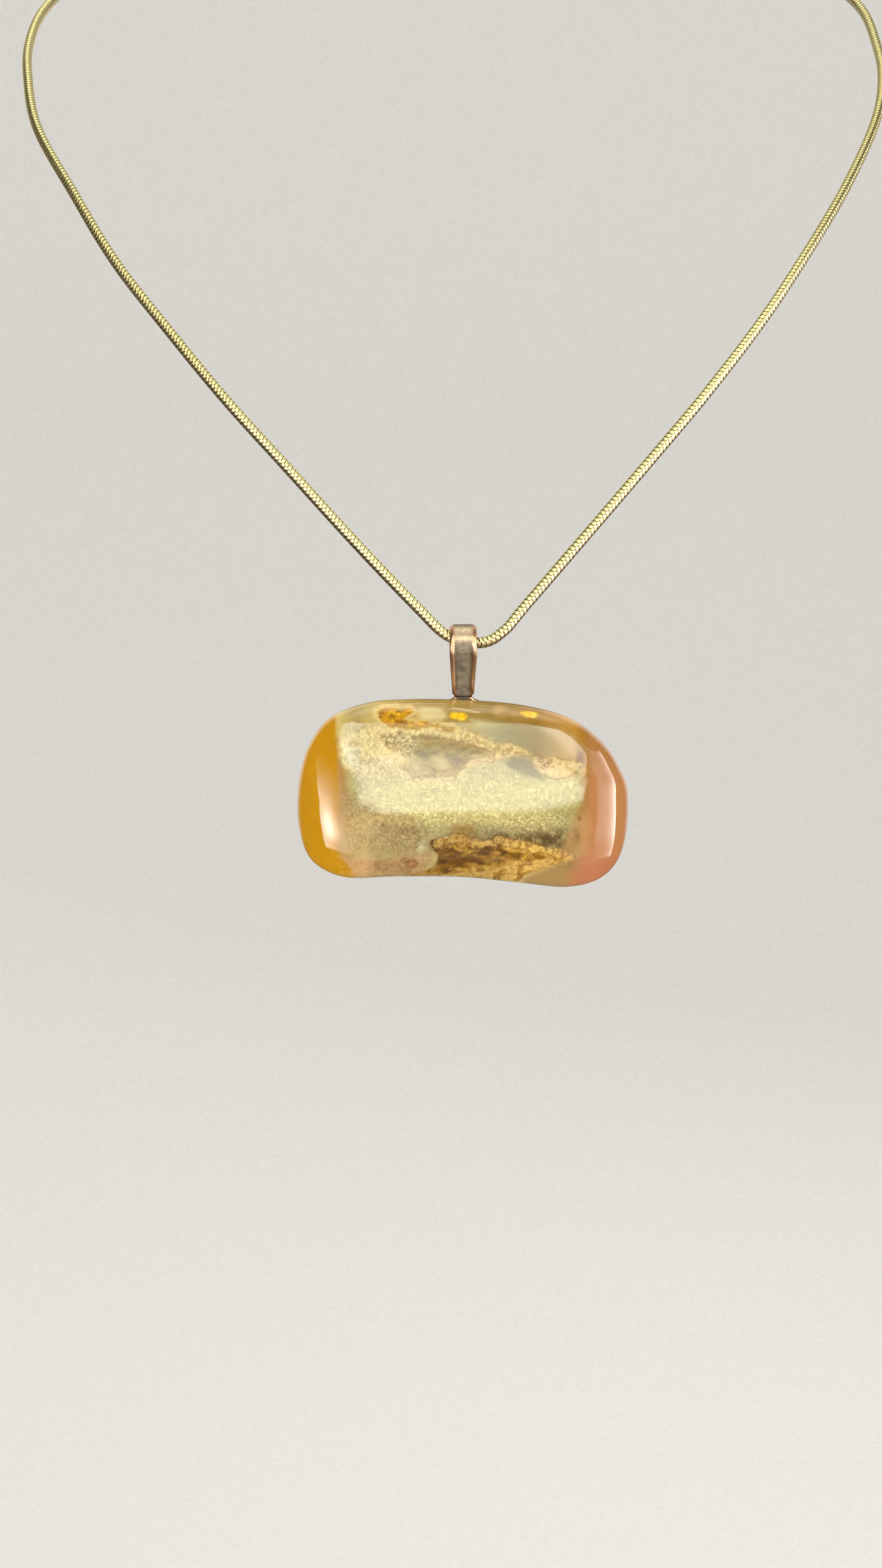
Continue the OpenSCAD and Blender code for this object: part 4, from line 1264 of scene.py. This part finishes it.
def base_material(name, inner):
    """Streaky glass: the layers' colours with a fine crackle laid over them. Its top is fused to the cap."""
    m = Nodes(name)
    pos = m.place()
    layers = m.attribute("layers", "Color")
    crackle = m.attribute("crackle")
    wander = m.noise(pos, 1.6, 4.0, 0.5, out="Color")
    moved = m.vector("ADD", pos, m.vector("SUBTRACT", wander, (0.5, 0.5, 0.5)))
    cells = m.cell_edges(moved, 1.9)
    small = m.cell_edges(moved, 3.6)
    patches = m.noise(pos, 0.3, 3.0)
    line = m.times(m.ramp(cells, 0.02, 0.26, 1.0, 0.0), m.ramp(patches, 0.38, 0.62, 0.25, 0.75))
    hair = m.times(m.ramp(small, 0.02, 0.26, 1.0, 0.0), m.ramp(patches, 0.4, 0.6, 0.80, 0.50))
    dark = m.times(m.math("MAXIMUM", line, hair), crackle)
    colour = m.mix(m.times(dark, 0.9), layers, m.tint(layers, (0.34, 0.29, 0.20)))
    sugar = m.times(m.ramp(m.noise(pos, 3.0, 4.0), 0.52, 0.70), crackle)
    colour = m.mix(m.times(sugar, 0.55), colour, m.tint(layers, (1.38, 1.42, 1.55)))
    # Lace: fine pale veins and small brown pits.
    lacy = m.attribute("lacy")
    ridge = m.math("ABSOLUTE", m.minus(m.noise(pos, 1.7, 4.0, 0.6, 0.4), 0.5))
    vein = m.times(m.ramp(ridge, 0.0, 0.05, 1.0, 0.0), lacy)
    colour = m.mix(m.times(vein, 0.38), colour, (0.60, 0.52, 0.27))
    pit = m.times(m.ramp(m.noise(pos, 2.6, 3.0, 0.6), 0.60, 0.72), lacy)
    colour = m.mix(m.times(pit, 0.45), colour, m.tint(colour, (0.50, 0.36, 0.16)))
    grain = m.noise(pos, 2.4, 5.0, 0.6)
    rough_zone = m.ramp(m.math("MAXIMUM", crackle, lacy), 0.0, 0.8, 0.3, 1.0)
    grained = m.tint(colour, m.mix(m.ramp(grain, 0.25, 0.75), (0.80, 0.79, 0.75), (1.15, 1.15, 1.15)))
    colour = m.mix(rough_zone, colour, grained)
    relief = m.plus(grain, m.times(dark, -0.6))
    if inner:
        m.principled(Base_Color=colour, Roughness=0.7, Specular_IOR_Level=0.0,
                     Normal=m.bump(relief, 0.2, 0.05))
    else:
        m.principled(Base_Color=colour, Roughness=0.25, IOR=GLASS_INDEX, Coat_Weight=0.6, Coat_Roughness=0.04,
                     Normal=m.bump(relief, 0.08, 0.05))
    return m.mat


def paint_base(pieces):
    """Glossy glass outside, and the fused top in its own material."""
    outside = base_material("fused_base_glass", False)
    fused_top = base_material("fused_base_top", True)
    for piece in pieces:
        paint(piece, outside)
        piece.data.materials.append(fused_top)
        for face in piece.data.polygons:
            face.material_index = int(face.center[1] / MM < CAB[1] - BASE_TOP + 0.01)


paint_base([
    make_base("base_amber_glass", "glass_base_amber", -30, SEAM_L, SEAM_L, HALF_L + SEAM_L, (-19.3, -0.3), 16),
    make_base("base_streaky_glass", "glass_base_centre", SEAM_L, SEAM_R, 0, 0, (-0.7, 0.2), 84),
    make_base("base_rose_glass", "glass_base_rose", SEAM_R, 30, SEAM_R, HALF_L - SEAM_R, (18.6, -1.2), 22),
])

# ------------------------------------------------------------------ the glass: foil and cap

FOIL_CELL = 0.11
FOIL_BACK, FOIL_EDGE, FOIL_FRONT = 2.578, 2.595, 2.615


def without_crumbs(cell):
    """The kept cells without stray ones that have few neighbours."""
    for _ in range(2):
        ringed = np.pad(cell, 1).astype(int)
        rows, cols = cell.shape
        near = sum(ringed[a:rows + a, b:cols + b] for a in range(3) for b in range(3))
        cell = cell & (near >= 5)
    return cell


def cells_at_points(cell):
    """How many kept cells meet at each point of the grid."""
    rows, cols = cell.shape
    count = np.zeros((rows + 1, cols + 1), int)
    for a in (0, 1):
        for b in (0, 1):
            count[a:rows + a, b:cols + b] += cell
    return count


def flake_faces(cell, used):
    """Fronts and backs of the kept cells, with walls where a neighbour is missing."""
    n = int(used.sum())
    index = np.zeros(used.shape, int)
    index[used] = np.arange(n)
    ringed = np.pad(cell, 1)
    plates, walls = [], []
    for i, k in zip(*np.nonzero(cell)):
        a, b, c, d = index[i, k], index[i + 1, k], index[i + 1, k + 1], index[i, k + 1]
        plates += [(a, b, c, d), (n + a, n + d, n + c, n + b)]
        for kept, p, q in ((ringed[i + 1, k], a, b), (ringed[i + 2, k + 1], b, c),
                           (ringed[i + 1, k + 2], c, d), (ringed[i, k + 1], d, a)):
            if not kept:
                walls.append((q, p, n + p, n + q))
    return plates + walls


def foil_material():
    m = Nodes("lacy_foil")
    pos = m.place()
    crinkle = m.noise(pos, 2.6, 5.0, 0.65)
    fine = m.noise(pos, 7.0, 3.0)
    own = m.attribute("layers", "Color")
    # Painted light and shade: the crumples are painted lighter where the crinkle noise rises and darker where
    # it falls, following the bump.
    colour = m.tint(own, m.mix(m.ramp(crinkle, 0.3, 0.7), (0.72, 0.68, 0.58), (1.22, 1.2, 1.12)))
    m.principled(Base_Color=colour, Roughness=m.ramp(fine, 0.2, 0.8, 0.35, 0.6), Specular_IOR_Level=0.1,
                 Normal=m.bump(m.plus(crinkle, m.times(fine, 0.4)), 0.6, 0.08))
    return m.mat


def make_foil():
    """The foil's lacy flakes, between base and cap: thin crumpled plates with ragged edges."""
    gx, gz = np.arange(-15.5, 15.6, FOIL_CELL), np.arange(-12.4, 12.6, FOIL_CELL)
    x, z = (a.ravel() for a in np.meshgrid(gx, gz, indexing="ij"))
    covered = inside_ratio(x, z) < 0.94
    ax, az = x.copy(), z.copy()
    ax[covered], az[covered] = seen_places(x[covered], z[covered])
    colour, _, foil, _ = glass_colours(ax, az)
    kept = (covered & (foil > 0.5)).reshape(len(gx), len(gz))
    cell = without_crumbs(kept[:-1, :-1] & kept[1:, :-1] & kept[:-1, 1:] & kept[1:, 1:])
    meeting = cells_at_points(cell)
    used = meeting > 0
    pick = used.ravel()
    px, pz = x[pick], z[pick]
    crumple = fbm(px, pz, 0.7, 3, 131)
    height = np.where(meeting[used] == 4, FOIL_FRONT + 0.03 * crumple, FOIL_EDGE)
    front = np.stack([px, -height, pz], 1)
    back = np.stack([px, np.full(len(px), -FOIL_BACK), pz], 1)
    obj = add_mesh("foil_lace", np.vstack([front, back]) + CAB, flake_faces(cell, used))
    shown = glass_albedo(colour, ax, az)[pick]
    set_colour(obj, "layers", np.vstack([shown, shown]))
    obj.data.set_sharp_from_angle(angle=math.radians(60))
    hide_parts("foil_flakes")
    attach(obj, "pendant")
    paint(obj, foil_material())


def cap_material():
    """Clear glass that lets shadow and diffuse rays through to the base."""
    m = Nodes("clear_cap_glass")
    glass = m.add("BsdfPrincipled", {"Base Color": (0.985, 0.985, 0.965, 1), "Roughness": 0.02,
                                     "IOR": GLASS_INDEX, "Transmission Weight": 1.0})
    clear = m.add("BsdfTransparent", {"Color": (0.97, 0.97, 0.95, 1)})
    path = m.add("LightPath")
    stand_in = m.math("MAXIMUM", path.outputs["Is Shadow Ray"], path.outputs["Is Diffuse Ray"])
    m.surface(m.add("MixShader", {0: stand_in, 1: glass.outputs[0], 2: clear.outputs[0]}))
    return m.mat


def make_cap():
    """The clear crown over the base, as rings from under its middle, round its foot and up to its top."""
    def ring(inset, h):
        x, z = drawn_in(outline, inset).T
        return np.stack([x, np.full(len(x), -h), z], 1)

    foot, widest, steps = crown_inset(CAP_FOOT), 0.985 * RIM, 46
    under = np.array([0, -CAP_FOOT, 0])
    edge = ring(foot + 0.02, CAP_FOOT)
    rings = [under + (edge - under) * t for t in (0.06, 0.35, 0.7, 0.93, 1.0)]
    for k in range(steps + 1):
        inset = foot + (widest - foot) * (k / steps) ** 1.9
        rings.append(ring(inset, crown(inset)))
    obj = add_mesh("clear_cap_glass", np.vstack(rings) + CAB, tube_faces(len(rings), len(outline)))
    face_outward(obj)
    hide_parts("glass_cap")
    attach(obj, "pendant")
    paint(obj, cap_material())


make_foil()
make_cap()

# ------------------------------------------------------------------ small metal parts and film


def soften(obj):
    """Rounds the CAD's sharp edges a little."""
    bevel = obj.modifiers.new("soft_edges", "BEVEL")
    bevel.width = 0.00012
    bevel.segments = 3
    bevel.limit_method = "ANGLE"
    bevel.angle_limit = math.radians(35)
    obj.data.polygons.foreach_set("use_smooth", [True] * len(obj.data.polygons))


def steel_material():
    m = Nodes("spring_wire")
    wire = m.noise(m.place(), 6.0, 3.0)
    m.principled(Base_Color=m.mix(wire, (0.45, 0.45, 0.46), (0.75, 0.75, 0.77)), Metallic=1.0,
                 Roughness=m.ramp(wire, 0.2, 0.8, 0.2, 0.35))
    return m.mat


def film_material():
    m = Nodes("cured_adhesive")
    haze = m.noise(m.place(), 1.2, 4.0)
    m.principled(Base_Color=m.mix(haze, (0.75, 0.74, 0.70), (0.88, 0.87, 0.83)), Roughness=0.45,
                 Normal=m.bump(haze, 0.3, 0.05))
    return m.mat


brass = brass_material("fittings_brass")
for node in ("end_cap_left", "end_cap_right", "jump_ring", "end_ring", "clasp_body", "clasp_pin",
             "clasp_trigger"):
    paint(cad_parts[node], brass)
    soften(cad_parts[node])
paint(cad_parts["clasp_spring"], steel_material())
paint(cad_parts["bail_adhesive"], film_material())

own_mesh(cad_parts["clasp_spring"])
